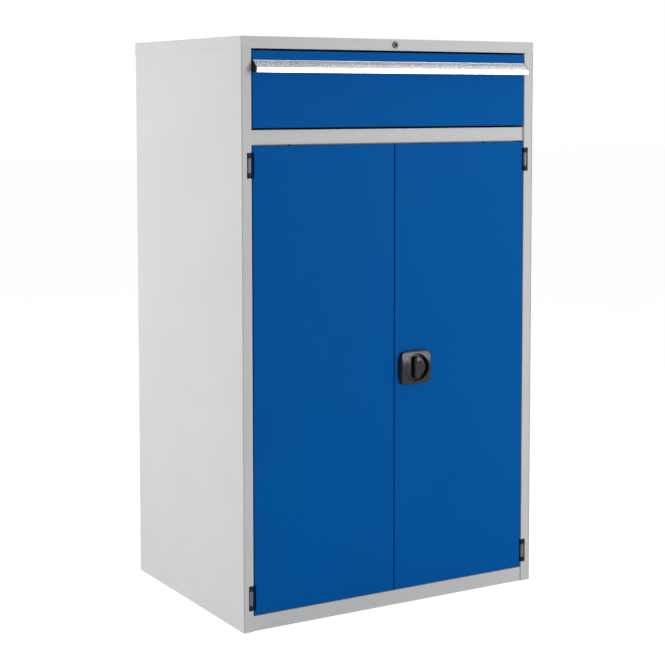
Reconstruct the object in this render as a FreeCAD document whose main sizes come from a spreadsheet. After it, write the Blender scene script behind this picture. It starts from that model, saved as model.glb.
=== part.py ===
"""Sheet-steel tool cupboard: one full-width drawer over a pair of hinged, rod-locked doors.

Millimetres. +X is to the right, +Y to the back and +Z up. The origin lies on the floor at the middle
of the carcass. Every size that can be set by itself is one row of the size sheet, and each piece takes
its sizes and its place from those rows, so that a changed size carries its neighbours with it.
"""
import FreeCAD, Part
import math
import os

import Sketcher

doc = FreeCAD.newDocument("tool_cupboard")
sheet = doc.addObject("Spreadsheet::Sheet", "Sizes")
pieces = {}

# How near to a plane an edge counts as on it, and how straight it must run to count as along an axis
TOUCH = 0.01
ALONG = 0.999


class Size:
    """A length that carries both its formula in the size sheet's words and its present value."""

    def __init__(self, text, number):
        self.text = text
        self.number = float(number)

    @staticmethod
    def of(value):
        return value if isinstance(value, Size) else Size(repr(float(value)), value)

    def _with(self, sign, other, number):
        return Size(f"({self.text} {sign} {other.text})", number)

    def __add__(self, other):
        other = Size.of(other)
        return self._with("+", other, self.number + other.number)

    def __sub__(self, other):
        other = Size.of(other)
        return self._with("-", other, self.number - other.number)

    def __mul__(self, other):
        other = Size.of(other)
        return self._with("*", other, self.number * other.number)

    def __truediv__(self, other):
        other = Size.of(other)
        return self._with("/", other, self.number / other.number)

    def __neg__(self):
        return Size.of(0) - self

    def __radd__(self, other):
        return Size.of(other) + self

    def __rsub__(self, other):
        return Size.of(other) - self

    def __rmul__(self, other):
        return Size.of(other) * self


def size(name, number):
    """Write one driving dimension into the sheet and return it."""
    row = len(sheet.getUsedCells()) // 2 + 1
    sheet.set(f"A{row}", name)
    sheet.set(f"B{row}", str(number))
    sheet.setAlias(f"B{row}", name)
    return Size("Sizes." + name, number)


def derived(name, formula):
    """Write one dimension that follows from others into the sheet and return it."""
    made = size(name, formula.number)
    sheet.set(sheet.getCellFromAlias(name), "=" + formula.text.replace("Sizes.", ""))
    return made


# Carcass
width = size("width", 900)
depth = size("depth", 650)
height = size("height", 1500)
sheet_gauge = size("sheet_gauge", 1.5)
back_gauge = size("back_gauge", 1.2)
lid_lip = size("lid_lip", 30)
lid_corner = size("lid_corner", 3)
lid_return = size("lid_return", 12)
fold_radius = size("fold_radius", 2)
rear_flange = size("rear_flange", 20)
foot_flange = size("foot_flange", 20)
post_width = size("post_width", 27)
post_outer_fold = size("post_outer_fold", 30)
post_inner_fold = size("post_inner_fold", 40)
post_hem = size("post_hem", 12)
base_height = size("base_height", 39)
base_setback = size("base_setback", 3)
drawer_bay = size("drawer_bay", 202)
middle_rail_height = size("middle_rail_height", 37)
middle_rail_bottom = derived("middle_rail_bottom", height - lid_lip - drawer_bay - middle_rail_height)
middle_setback = size("middle_setback", 5.5)
rail_top_fold = size("rail_top_fold", 12)
stop_lip = size("stop_lip", 14)
stop_gap = size("stop_gap", 2)
deck_lap = size("deck_lap", 15)

# Slotted uprights and shelves
upright_width = size("upright_width", 30)
upright_hem = size("upright_hem", 8)
upright_gap = size("upright_gap", 0.5)
upright_rear_offset = size("upright_rear_offset", 20)
slot_pitch = size("slot_pitch", 50)
slot_first = size("slot_first", 40)
slot_width = size("slot_width", 4)
slot_height = size("slot_height", 14)
shelf_gauge = size("shelf_gauge", 1.2)
shelf_fold = size("shelf_fold", 30)
shelf_hem = size("shelf_hem", 14)
shelf_side_gap = size("shelf_side_gap", 3)
shelf_front_gap = size("shelf_front_gap", 14)
shelf_back_gap = size("shelf_back_gap", 6)
lower_shelf_step = size("lower_shelf_step", 7)
upper_shelf_step = size("upper_shelf_step", 15)
clip_width = size("clip_width", 20)
clip_gauge = size("clip_gauge", 2)
clip_reach = size("clip_reach", 18)
clip_drop = size("clip_drop", 24)
clip_hook = size("clip_hook", 5)
clip_play = size("clip_play", 0.5)

# Doors
door_gap = size("door_gap", 3)
door_setback = size("door_setback", 0.5)
door_thickness = size("door_thickness", 22)
door_gauge = size("door_gauge", 1.2)
door_lip = size("door_lip", 25)
door_edge_round = size("door_edge_round", 1.0)
stiffener_width = size("stiffener_width", 80)
stiffener_crown = size("stiffener_crown", 40)
stiffener_gauge = size("stiffener_gauge", 1)
stiffener_play = size("stiffener_play", 0.3)

# Hinges
hinge_height = size("hinge_height", 61)
hinge_middle = size("hinge_middle", 36)
hinge_play = size("hinge_play", 0.3)
hinge_radius = size("hinge_radius", 6)
hinge_pin_radius = size("hinge_pin_radius", 3)
hinge_pin_end = size("hinge_pin_end", 1)
fit_clearance = size("fit_clearance", 0.05)
hinge_inset = size("hinge_inset", 4.5)
upper_hinge_drop = size("upper_hinge_drop", 48)
lower_hinge_rise = size("lower_hinge_rise", 44)
hinge_room = size("hinge_room", 1.5)
hinge_leaf = size("hinge_leaf", 2)
frame_leaf_reach = size("frame_leaf_reach", 22)
door_leaf_reach = size("door_leaf_reach", 20)
hinge_relief = size("hinge_relief", 4)

# Turn handle and rod lock
handle_backset = size("handle_backset", 62)
handle_height = size("handle_height", 635)
plate_width = size("plate_width", 98)
plate_height = size("plate_height", 89)
plate_shift = size("plate_shift", 2.5)
plate_thickness = size("plate_thickness", 15)
plate_edge = size("plate_edge", 10)
plate_bulge = size("plate_bulge", 4)
plate_round = size("plate_round", 2)
plate_corner = size("plate_corner", 9)
rotor_radius = size("rotor_radius", 36.5)
rotor_clearance = size("rotor_clearance", 0.3)
rotor_floor = size("rotor_floor", 3)
rotor_chord = size("rotor_chord", 20)
thumb_radius = size("thumb_radius", 28)
thumb_drop = size("thumb_drop", 2)
grip_width = size("grip_width", 17)
grip_length = size("grip_length", 58)
grip_proud = size("grip_proud", 4)
grip_round = size("grip_round", 3)
key_radius = size("key_radius", 4.5)
key_depth = size("key_depth", 9)
key_rise = size("key_rise", 23)
key_proud = size("key_proud", 0.8)
key_slot_width = size("key_slot_width", 1.2)
key_slot_length = size("key_slot_length", 5)
key_slot_depth = size("key_slot_depth", 4)
spindle_radius = size("spindle_radius", 6)
skin_hole_radius = size("skin_hole_radius", 12)
gear_module = size("gear_module", 1.5)
gear_teeth = size("gear_teeth", 12)
gear_backlash = size("gear_backlash", 0.2)
gear_dedendum = size("gear_dedendum", 1.25)
gear_pressure_angle = size("gear_pressure_angle", 20)
rack_addendum = size("rack_addendum", 0.7)
rack_spaces = size("rack_spaces", 6)
rod_thickness = size("rod_thickness", 4)
rod_back = size("rod_back", 8)
rod_stop_play = size("rod_stop_play", 1)
rod_end_gap = size("rod_end_gap", 3)
rod_play = size("rod_play", 0.3)
case_height = size("case_height", 70)
case_wall = size("case_wall", 6)
guide_height = size("guide_height", 10)
guide_wall = size("guide_wall", 3)
buffer_radius = size("buffer_radius", 6)
buffer_offset = size("buffer_offset", 300)
catch_width = size("catch_width", 40)
catch_height = size("catch_height", 15)
catch_depth = size("catch_depth", 14)
catch_offset = size("catch_offset", 60)
striker_gauge = size("striker_gauge", 1.2)

# Drawer
drawer_gap = size("drawer_gap", 5)
drawer_front_depth = size("drawer_front_depth", 20)
drawer_front_lip = size("drawer_front_lip", 15)
drawer_length = size("drawer_length", 560)
drawer_side_height = size("drawer_side_height", 145)
drawer_side_rise = size("drawer_side_rise", 12)
drawer_gauge = size("drawer_gauge", 1.2)
drawer_side_fold = size("drawer_side_fold", 10)
drawer_back_drop = size("drawer_back_drop", 8)
handle_top = size("handle_top", 22)
handle_projection = size("handle_projection", 24)
handle_fall = size("handle_fall", 18.5)
handle_lip = size("handle_lip", 14)
handle_wall = size("handle_wall", 2.2)
handle_foot = size("handle_foot", 31)
handle_bead = size("handle_bead", 1)
cap_thickness = size("cap_thickness", 2)
label_gauge = size("label_gauge", 0.8)
label_margin = size("label_margin", 3.5)
runner_width = size("runner_width", 13)
runner_height = size("runner_height", 45)
runner_gauge = size("runner_gauge", 1.5)
runner_play = size("runner_play", 0.4)
runner_web_play = size("runner_web_play", 0.5)
runner_front_gap = size("runner_front_gap", 3)
runner_rise = size("runner_rise", 70)

# Drawer lock
lock_head_radius = size("lock_head_radius", 9)
lock_head_proud = size("lock_head_proud", 2.5)
lock_radius = size("lock_radius", 8)
lock_length = size("lock_length", 21)
lock_plug_radius = size("lock_plug_radius", 5)
lock_plug_recess = size("lock_plug_recess", 0.6)
lock_nut_radius = size("lock_nut_radius", 11)
lock_nut_thickness = size("lock_nut_thickness", 5)
lock_drop = size("lock_drop", 15)
cam_length = size("cam_length", 25)
cam_width = size("cam_width", 12)
cam_gauge = size("cam_gauge", 2)
cam_gap = size("cam_gap", 1)
doc.recompute()

# Planes and lines that several pieces share
side_outer = width / 2 - sheet_gauge
side_inner = side_outer - sheet_gauge
opening = side_inner - post_width
post_face = -(depth / 2 - sheet_gauge)
post_back = post_face + post_inner_fold
rear_face = depth / 2 - sheet_gauge
back_panel_rear = rear_face - sheet_gauge
back_panel_front = back_panel_rear - back_gauge
under_lid = height - sheet_gauge
lid_edge = height - lid_lip
middle_rail_top = middle_rail_bottom + middle_rail_height
door_face = post_face + door_setback
door_back = door_face + door_thickness
door_bottom = base_height + door_gap
door_top = middle_rail_bottom - door_gap
door_outer = opening - door_gap
door_inner = door_gap / 2
lip_front = door_back + stop_gap
lip_back = lip_front + sheet_gauge
hinge_x = opening + hinge_radius
hinge_y = post_face + hinge_inset
hinge_levels = {"upper": door_top - upper_hinge_drop, "lower": door_bottom + lower_hinge_rise}
handle_x = door_inner + handle_backset
plate_face = door_face - plate_thickness
rod_front = lip_back + rod_stop_play
rod_rear = rod_front + rod_thickness
SIDES = {"left": -1, "right": 1}


def plane_of(owner, role):
    """The origin plane of a body that has the given role."""
    return next(item for item in owner.Origin.OriginFeatures if item.Role == role)


def new_body(name):
    """An empty solid of its own, named for the piece it makes."""
    owner = doc.addObject("PartDesign::Body", name)
    owner.Label = name
    return owner


def new_sketch(owner, role, start):
    """A sketch on one of the body's planes, moved along the plane's normal by start."""
    drawing = owner.newObject("Sketcher::SketchObject", owner.Name + "_sketch")
    drawing.AttachmentSupport = [(plane_of(owner, role), "")]
    drawing.MapMode = "FlatFace"
    drawing.setExpression(".AttachmentOffset.Base.z", Size.of(start).text)
    return drawing


def pin_point(drawing, geometry, point, place):
    """Hold one point of a sketch at a place given by two formulas."""
    for kind, coordinate in zip(("DistanceX", "DistanceY"), place):
        coordinate = Size.of(coordinate)
        rule = Sketcher.Constraint(kind, -1, 1, geometry, point, coordinate.number)
        index = drawing.addConstraint(rule)
        drawing.setExpression(f"Constraints[{index}]", coordinate.text)


def draw_polygon(drawing, corners):
    """A closed outline of straight runs through the given corners."""
    corners = [(Size.of(x), Size.of(y)) for x, y in corners]
    spots = [FreeCAD.Vector(x.number, y.number, 0) for x, y in corners]
    count = len(corners)
    lines = []
    for index in range(count):
        line = Part.LineSegment(spots[index], spots[(index + 1) % count])
        lines.append(drawing.addGeometry(line, False))
    for index in range(count):
        following = lines[(index + 1) % count]
        drawing.addConstraint(Sketcher.Constraint("Coincident", lines[index], 2, following, 1))
    for index in range(count):
        pin_point(drawing, lines[index], 1, corners[index])


def draw_circle(drawing, centre, radius):
    """A circle whose centre and radius follow the sheet."""
    x, y = Size.of(centre[0]), Size.of(centre[1])
    radius = Size.of(radius)
    spot = FreeCAD.Vector(x.number, y.number, 0)
    ring = drawing.addGeometry(Part.Circle(spot, FreeCAD.Vector(0, 0, 1), radius.number), False)
    pin_point(drawing, ring, 3, (x, y))
    index = drawing.addConstraint(Sketcher.Constraint("Radius", ring, radius.number))
    drawing.setExpression(f"Constraints[{index}]", radius.text)


def rectangle(low, high):
    """The four corners of a rectangle between two opposite ones."""
    return [low, (high[0], low[1]), high, (low[0], high[1])]


def feature(owner, kind, drawing, length):
    """Carry a sketch along its normal for a length, adding or cutting."""
    made = owner.newObject(kind, owner.Name + "_" + kind.split("::")[1].lower())
    made.Profile = drawing
    made.Reversed = kind == "PartDesign::Pocket"
    made.setExpression("Length", Size.of(length).text)
    drawing.Visibility = False
    return made


def add_prism(owner, role, start, length, corners):
    """Add a prism of a polygon, from start along the plane's normal."""
    drawing = new_sketch(owner, role, start)
    draw_polygon(drawing, corners)
    return feature(owner, "PartDesign::Pad", drawing, length)


def cut_prism(owner, role, start, length, corners):
    """Cut a prism of a polygon, from start along the plane's normal."""
    drawing = new_sketch(owner, role, start)
    draw_polygon(drawing, corners)
    return feature(owner, "PartDesign::Pocket", drawing, length)


def add_rod(owner, role, start, length, centre, radius):
    """Add a round rod, from start along the plane's normal."""
    drawing = new_sketch(owner, role, start)
    draw_circle(drawing, centre, radius)
    return feature(owner, "PartDesign::Pad", drawing, length)


def cut_hole(owner, role, start, length, centre, radius):
    """Cut a round hole, from start along the plane's normal."""
    drawing = new_sketch(owner, role, start)
    draw_circle(drawing, centre, radius)
    return feature(owner, "PartDesign::Pocket", drawing, length)


def repeat_along(owner, original, drawing_axis, pitch, count):
    """Repeat one cut in a straight row along an axis of its own sketch."""
    row = owner.newObject("PartDesign::LinearPattern", owner.Name + "_row")
    row.Originals = [original]
    row.Direction = (original.Profile[0], [drawing_axis])
    row.setExpression("Length", (pitch * (count - 1)).text)
    row.Occurrences = count
    owner.Tip = row
    return row


def straight_along(edge, axis):
    """Whether an edge is a straight line along the given axis."""
    if len(edge.Vertexes) != 2 or not isinstance(edge.Curve, Part.Line):
        return False
    run = edge.Vertexes[1].Point - edge.Vertexes[0].Point
    return abs(getattr(run, axis)) > ALONG * run.Length


def round_edges(owner, radius, wanted):
    """Round those edges of a body's present shape that the test picks out."""
    doc.recompute()
    base = owner.Tip
    shape = base.Shape
    names = [f"Edge{i + 1}" for i, edge in enumerate(shape.Edges) if wanted(edge, shape.BoundBox)]
    rounded = owner.newObject("PartDesign::Fillet", owner.Name + "_round")
    rounded.Base = (base, names)
    rounded.setExpression("Radius", radius.text)


def keep(name, item):
    """Register the finished piece under its name."""
    item.Label = name
    pieces[name] = item
    return item


def group(name, members):
    """Several like solids that share one name."""
    made = doc.addObject("Part::Compound", name)
    made.Links = members
    return keep(name, made)


def make_top_cover():
    """Tray lid: its turned-down lip is the rail over the drawer, with the lock hole in the middle."""
    lid = new_body("top_cover")
    half_x, half_y = width / 2, depth / 2
    add_prism(lid, "XY_Plane", lid_edge, lid_lip, rectangle((-half_x, -half_y), (half_x, half_y)))
    round_edges(lid, lid_corner, lambda edge, box: straight_along(edge, "z"))
    round_edges(lid, fold_radius, lambda edge, box: edge.BoundBox.ZMin > box.ZMax - TOUCH)
    inner_x, inner_y = half_x - sheet_gauge, half_y - sheet_gauge
    cut_prism(lid, "XY_Plane", lid_edge, lid_lip - sheet_gauge,
              rectangle((-inner_x, -inner_y), (inner_x, inner_y)))
    return_x = opening - upright_gap
    add_prism(lid, "XY_Plane", lid_edge, sheet_gauge,
              rectangle((-return_x, post_face), (return_x, post_face + lid_return)))
    cut_hole(lid, "XZ_Plane", -post_face - sheet_gauge, 3 * sheet_gauge,
             (0, height - lock_drop), lock_radius + fit_clearance)
    keep("top_cover", lid)


def make_side_panel(side, sign):
    """Flat side with a rear flange for the back panel and a foot flange to stand on."""
    panel = new_body(f"{side}_side_panel")
    flange_x = side_inner - rear_flange
    corners = [
        (side_outer, post_face),
        (side_outer, rear_face),
        (flange_x, rear_face),
        (flange_x, back_panel_rear),
        (side_inner, back_panel_rear),
        (side_inner, post_face),
    ]
    add_prism(panel, "XY_Plane", 0, under_lid, [(sign * x, y) for x, y in corners])
    round_edges(panel, fold_radius, lambda edge, box: straight_along(edge, "z")
                and edge.BoundBox.YMin > box.YMax - TOUCH
                and abs(edge.BoundBox.Center.x) > side_inner.number)
    add_prism(panel, "XY_Plane", 0, sheet_gauge,
              rectangle((sign * side_inner, post_back + upright_gap),
                        (sign * (side_inner - foot_flange), back_panel_front - upright_gap)))
    keep(f"{side}_side_panel", panel)


def make_post(side, sign):
    """Folded corner post, notched where the two hinge barrels stand in its inner edge."""
    post = new_body(f"{side}_post")
    inner_line = opening + sheet_gauge
    corners = [
        (side_inner, post_face),
        (side_inner, post_face + post_outer_fold),
        (side_inner - sheet_gauge, post_face + post_outer_fold),
        (side_inner - sheet_gauge, post_face + sheet_gauge),
        (inner_line, post_face + sheet_gauge),
        (inner_line, post_back - sheet_gauge),
        (opening + post_hem, post_back - sheet_gauge),
        (opening + post_hem, post_back),
        (opening, post_back),
        (opening, post_face),
    ]
    add_prism(post, "XY_Plane", 0, under_lid, [(sign * x, y) for x, y in corners])
    round_edges(post, fold_radius, lambda edge, box: straight_along(edge, "z")
                and edge.BoundBox.YMax < box.YMin + TOUCH)
    notch_height = hinge_height + 2 * hinge_room
    notch_side = hinge_x + hinge_radius + hinge_room
    notch_back = hinge_y + hinge_radius + hinge_leaf
    for level in hinge_levels.values():
        cut_prism(post, "XY_Plane", level - notch_height / 2, notch_height,
                  rectangle((sign * (opening - sheet_gauge), post_face - sheet_gauge),
                            (sign * notch_side, notch_back)))
    keep(f"{side}_post", post)


def make_back_panel():
    """Flat back behind the uprights, held by the flanges of the side panels."""
    panel = new_body("back_panel")
    add_prism(panel, "XZ_Plane", -back_panel_rear, back_gauge,
              rectangle((-side_inner, 0), (side_inner, under_lid)))
    keep("back_panel", panel)


def make_floor_panel():
    """Floor sheet between the sides, notched round the posts, with turned-down side edges."""
    floor = new_body("floor_panel")
    corners = [
        (-opening, lip_back),
        (opening, lip_back),
        (opening, post_back + upright_gap),
        (side_inner, post_back + upright_gap),
        (side_inner, back_panel_front),
        (-side_inner, back_panel_front),
        (-side_inner, post_back + upright_gap),
        (-opening, post_back + upright_gap),
    ]
    add_prism(floor, "XY_Plane", base_height - sheet_gauge, sheet_gauge, corners)
    edge_drop = base_height - sheet_gauge - foot_flange / 2
    for sign in SIDES.values():
        add_prism(floor, "XY_Plane", edge_drop, base_height - edge_drop,
                  rectangle((sign * side_inner, post_back + upright_gap),
                            (sign * (side_inner - sheet_gauge), back_panel_front)))
    keep("floor_panel", floor)


def make_bottom_rail():
    """Folded kick rail whose back edge turns up behind the doors as their stop."""
    rail = new_body("bottom_rail")
    front = post_face + base_setback
    corners = [
        (front, 0),
        (front, base_height),
        (lip_front, base_height),
        (lip_front, base_height + stop_lip),
        (lip_back, base_height + stop_lip),
        (lip_back, base_height - sheet_gauge),
        (front + sheet_gauge, base_height - sheet_gauge),
        (front + sheet_gauge, sheet_gauge),
        (front + foot_flange, sheet_gauge),
        (front + foot_flange, 0),
    ]
    add_prism(rail, "YZ_Plane", -opening, 2 * opening, corners)
    round_edges(rail, fold_radius / 2, lambda edge, box: straight_along(edge, "x")
                and edge.BoundBox.YMax < box.YMin + TOUCH)
    keep("bottom_rail", rail)


def make_middle_rail():
    """Folded rail between drawer and doors; its lip turns down behind the doors as their stop."""
    rail = new_body("middle_rail")
    front = post_face + middle_setback
    corners = [
        (front, middle_rail_bottom),
        (front, middle_rail_top),
        (front + rail_top_fold, middle_rail_top),
        (front + rail_top_fold, middle_rail_top - sheet_gauge),
        (front + sheet_gauge, middle_rail_top - sheet_gauge),
        (front + sheet_gauge, middle_rail_bottom + sheet_gauge),
        (lip_back, middle_rail_bottom + sheet_gauge),
        (lip_back, middle_rail_bottom - stop_lip),
        (lip_front, middle_rail_bottom - stop_lip),
        (lip_front, middle_rail_bottom),
    ]
    add_prism(rail, "YZ_Plane", -opening, 2 * opening, corners)
    round_edges(rail, fold_radius / 2, lambda edge, box: straight_along(edge, "x")
                and edge.BoundBox.YMax < box.YMin + TOUCH)
    keep("middle_rail", rail)


def make_drawer_deck():
    """Sheet that closes the cupboard space off from the drawer above it."""
    deck = new_body("drawer_deck")
    add_prism(deck, "XY_Plane", middle_rail_bottom + sheet_gauge, sheet_gauge,
              rectangle((-opening, lip_back - deck_lap), (opening, back_panel_front)))
    keep("drawer_deck", deck)


def upright_front(end):
    """The front line of the uprights at the front or the rear of the sides."""
    if end == "front":
        return post_back + upright_gap
    return back_panel_front - upright_rear_offset - upright_width


def make_upright(end, side, sign):
    """Folded channel from floor to lid, with a row of slots for shelf clips in its inner face."""
    upright = new_body(f"{end}_{side}_upright")
    front = upright_front(end)
    back = front + upright_width
    inner_line = opening + sheet_gauge
    corners = [
        (opening, front),
        (side_inner, front),
        (side_inner, front + upright_hem),
        (side_inner - sheet_gauge, front + upright_hem),
        (side_inner - sheet_gauge, front + sheet_gauge),
        (inner_line, front + sheet_gauge),
        (inner_line, back - sheet_gauge),
        (side_inner - sheet_gauge, back - sheet_gauge),
        (side_inner - sheet_gauge, back - upright_hem),
        (side_inner, back - upright_hem),
        (side_inner, back),
        (opening, back),
    ]
    add_prism(upright, "XY_Plane", base_height, under_lid - base_height,
              [(sign * x, y) for x, y in corners])
    middle = front + upright_width / 2
    first = base_height + slot_first
    half_width, half_height = slot_width / 2, slot_height / 2
    start = opening - sheet_gauge if sign > 0 else -(opening + 2 * sheet_gauge)
    slot = cut_prism(upright, "YZ_Plane", start, 3 * sheet_gauge,
                     rectangle((middle - half_width, first - half_height),
                               (middle + half_width, first + half_height)))
    room = under_lid.number - base_height.number - 2 * slot_first.number
    repeat_along(upright, slot, "V_Axis", slot_pitch, int(room // slot_pitch.number) + 1)
    keep(f"{end}_{side}_upright", upright)


def shelf_seat(step):
    """The height at which the clips of a shelf carry it."""
    return base_height + slot_first + slot_pitch * step


def make_shelf(name, step):
    """Shelf tray with all four edges turned down and the long edges hemmed inwards."""
    shelf = new_body(name)
    seat = shelf_seat(step)
    half = opening - shelf_side_gap
    front = post_back + shelf_front_gap
    back = back_panel_front - shelf_back_gap
    add_prism(shelf, "XY_Plane", seat, shelf_fold, rectangle((-half, front), (half, back)))
    round_edges(shelf, fold_radius / 2, lambda edge, box: edge.BoundBox.ZMin > box.ZMax - TOUCH)
    cut_prism(shelf, "XY_Plane", seat, shelf_gauge,
              rectangle((-half + shelf_hem, front + shelf_hem), (half - shelf_hem, back - shelf_hem)))
    cut_prism(shelf, "XY_Plane", seat + shelf_gauge, shelf_fold - 2 * shelf_gauge,
              rectangle((-half + shelf_gauge, front + shelf_gauge), (half - shelf_gauge, back - shelf_gauge)))
    keep(name, shelf)


def make_shelf_clip(name, end, side, sign, step):
    """Angle clip hooked through one slot of an upright, with the shelf resting on its arm."""
    clip = new_body(name)
    seat = shelf_seat(step)
    middle = upright_front(end) + upright_width / 2
    half = clip_width / 2
    corners = [
        (opening, seat),
        (opening - clip_reach, seat),
        (opening - clip_reach, seat - clip_gauge),
        (opening - clip_gauge, seat - clip_gauge),
        (opening - clip_gauge, seat - clip_drop),
        (opening, seat - clip_drop),
    ]
    add_prism(clip, "XZ_Plane", -(middle + half), clip_width, [(sign * x, z) for x, z in corners])
    tongue = slot_width / 2 - clip_play
    slot_edge = slot_height / 2 - clip_play
    add_prism(clip, "XZ_Plane", -(middle + tongue), 2 * tongue,
              rectangle((sign * (opening - clip_gauge), seat - slot_edge),
                        (sign * (opening + clip_hook), seat - clip_gauge)))
    return clip


def make_uprights_and_shelves():
    """The four uprights, the two shelves and the clips that carry them."""
    clips = []
    for end in ("front", "rear"):
        for side, sign in SIDES.items():
            make_upright(end, side, sign)
            for shelf, step in (("lower", lower_shelf_step), ("upper", upper_shelf_step)):
                clips.append(make_shelf_clip(f"{shelf}_{end}_{side}_clip", end, side, sign, step))
    make_shelf("lower_shelf", lower_shelf_step)
    make_shelf("upper_shelf", upper_shelf_step)
    group("shelf_clips", clips)


def make_frame_leaf(name, sign, level):
    """Hinge half on the post: a plate inside the post's fold, with a knuckle at each end."""
    leaf = new_body(name)
    plate_outer = opening + sheet_gauge + hinge_leaf
    plate_inner = opening + sheet_gauge
    window = hinge_y + hinge_radius + hinge_leaf + hinge_room
    low = level - hinge_height / 2
    knuckle = (hinge_height - hinge_middle) / 2 - hinge_play
    add_prism(leaf, "XY_Plane", low, hinge_height,
              rectangle((sign * plate_inner, window), (sign * plate_outer, window + frame_leaf_reach)))
    for start in (low, low + hinge_height - knuckle):
        add_prism(leaf, "XY_Plane", start, knuckle,
                  rectangle((sign * plate_inner, hinge_y), (sign * plate_outer, window + hinge_leaf)))
        add_rod(leaf, "XY_Plane", start, knuckle, (sign * hinge_x, hinge_y), hinge_radius)
    cut_hole(leaf, "XY_Plane", low - hinge_room, hinge_height + 2 * hinge_room,
             (sign * hinge_x, hinge_y), hinge_pin_radius + fit_clearance)
    return leaf


def make_door_leaf(name, sign, level):
    """Hinge half on the door: the middle knuckle and a bent plate on the door's edge."""
    leaf = new_body(name)
    low = level - hinge_middle / 2
    web_front = hinge_y + hinge_radius - hinge_leaf
    corners = [
        (hinge_x, web_front),
        (door_outer, web_front),
        (door_outer, web_front + door_leaf_reach),
        (door_outer + hinge_leaf, web_front + door_leaf_reach),
        (door_outer + hinge_leaf, web_front + hinge_leaf),
        (hinge_x, web_front + hinge_leaf),
    ]
    add_rod(leaf, "XY_Plane", low, hinge_middle, (sign * hinge_x, hinge_y), hinge_radius)
    add_prism(leaf, "XY_Plane", low, hinge_middle, [(sign * x, y) for x, y in corners])
    cut_hole(leaf, "XY_Plane", low - hinge_room, hinge_middle + 2 * hinge_room,
             (sign * hinge_x, hinge_y), hinge_pin_radius + fit_clearance)
    return leaf


def make_hinge_pin(name, sign, level):
    """Round pin through the three knuckles, standing a little out at both ends."""
    pin = new_body(name)
    add_rod(pin, "XY_Plane", level - hinge_height / 2 - hinge_pin_end, hinge_height + 2 * hinge_pin_end,
            (sign * hinge_x, hinge_y), hinge_pin_radius)
    return pin


def make_hinges():
    """Two lift-off hinges to each door; their frame halves, door halves and pins."""
    pins = []
    for side, sign in SIDES.items():
        frame_leaves = []
        door_leaves = []
        for end, level in hinge_levels.items():
            frame_leaves.append(make_frame_leaf(f"{end}_{side}_frame_leaf", sign, level))
            door_leaves.append(make_door_leaf(f"{end}_{side}_door_leaf", sign, level))
            pins.append(make_hinge_pin(f"{end}_{side}_hinge_pin", sign, level))
        group(f"{side}_hinge_frame_leaves", frame_leaves)
        group(f"{side}_hinge_door_leaves", door_leaves)
    group("hinge_pins", pins)


def make_pan(name, low, high, front, thickness, gauge, lip):
    """Folded sheet pan: a front skin, four edges turned back and a lip turned in behind them.

    low and high are the outer corners in X and Z, and the skin faces -Y.
    """
    pan = new_body(name)
    back = front + thickness
    add_prism(pan, "XZ_Plane", -back, thickness, rectangle(low, high))
    round_edges(pan, door_edge_round, lambda edge, box: edge.BoundBox.YMax < box.YMin + TOUCH)
    cut_prism(pan, "XZ_Plane", -back, gauge, rectangle((low[0] + lip, low[1] + lip),
                                                       (high[0] - lip, high[1] - lip)))
    cut_prism(pan, "XZ_Plane", -(back - gauge), thickness - 2 * gauge,
              rectangle((low[0] + gauge, low[1] + gauge), (high[0] - gauge, high[1] - gauge)))
    return pan


def make_door(side, sign):
    """One door leaf, relieved at its hinge edge beside each hinge barrel."""
    if sign < 0:
        low, high = (-door_outer, door_bottom), (-door_inner, door_top)
    else:
        low, high = (door_inner, door_bottom), (door_outer, door_top)
    door = make_pan(f"{side}_door_panel", low, high, door_face, door_thickness, door_gauge, door_lip)
    relief_height = hinge_height + 2 * hinge_room
    for level in hinge_levels.values():
        cut_prism(door, "XY_Plane", level - relief_height / 2, relief_height,
                  rectangle((sign * (door_outer + hinge_relief), door_face - hinge_relief),
                            (sign * (door_outer - hinge_relief), door_face + hinge_relief)))
    if side == "right":
        cut_hole(door, "XZ_Plane", -(door_face + 2 * door_gauge), 3 * door_gauge,
                 (handle_x, handle_height), skin_hole_radius)
    keep(f"{side}_door_panel", door)


def make_stiffener(side, sign):
    """Hat channel up the middle of a door, its two feet on the back of the skin."""
    bar = new_body(f"{side}_door_stiffener")
    middle = sign * (door_outer + door_inner) / 2
    foot = door_face + door_gauge
    crown = door_back - door_gauge - stiffener_play
    half_foot, half_crown = stiffener_width / 2, stiffener_crown / 2
    corners = [
        (-half_foot, foot),
        (-half_crown + stiffener_gauge, foot),
        (-half_crown + stiffener_gauge, crown - stiffener_gauge),
        (half_crown - stiffener_gauge, crown - stiffener_gauge),
        (half_crown - stiffener_gauge, foot),
        (half_foot, foot),
        (half_foot, foot + stiffener_gauge),
        (half_crown, foot + stiffener_gauge),
        (half_crown, crown),
        (-half_crown, crown),
        (-half_crown, foot + stiffener_gauge),
        (-half_foot, foot + stiffener_gauge),
    ]
    add_prism(bar, "XY_Plane", door_bottom + door_gauge, door_top - door_bottom - 2 * door_gauge,
              [(middle + x, y) for x, y in corners])
    keep(f"{side}_door_stiffener", bar)


def vector(x, y, z):
    """A point from three lengths."""
    return FreeCAD.Vector(Size.of(x).number, Size.of(y).number, Size.of(z).number)


def solid_piece(name, shape):
    """A piece whose curved form is worked out from the sheet by formula."""
    item = doc.addObject("Part::Feature", name)
    item.Shape = shape
    item.Placement = FreeCAD.Placement()
    return keep(name, item)


def extruded(edges, run):
    """A solid that carries a closed outline along a run."""
    return Part.Face(Part.Wire(edges)).extrude(run)


def cylinder_back(radius, front, back, x, z):
    """A round solid about an axis along Y, from its front plane to its back plane."""
    front, back = Size.of(front), Size.of(back)
    return Part.makeCylinder(Size.of(radius).number, (back - front).number, vector(x, front, z),
                             FreeCAD.Vector(0, 1, 0))


def box_between(low, high):
    """A box between two opposite corners."""
    corner = vector(*low)
    span = vector(*high) - corner
    return Part.makeBox(span.x, span.y, span.z, corner)


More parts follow.
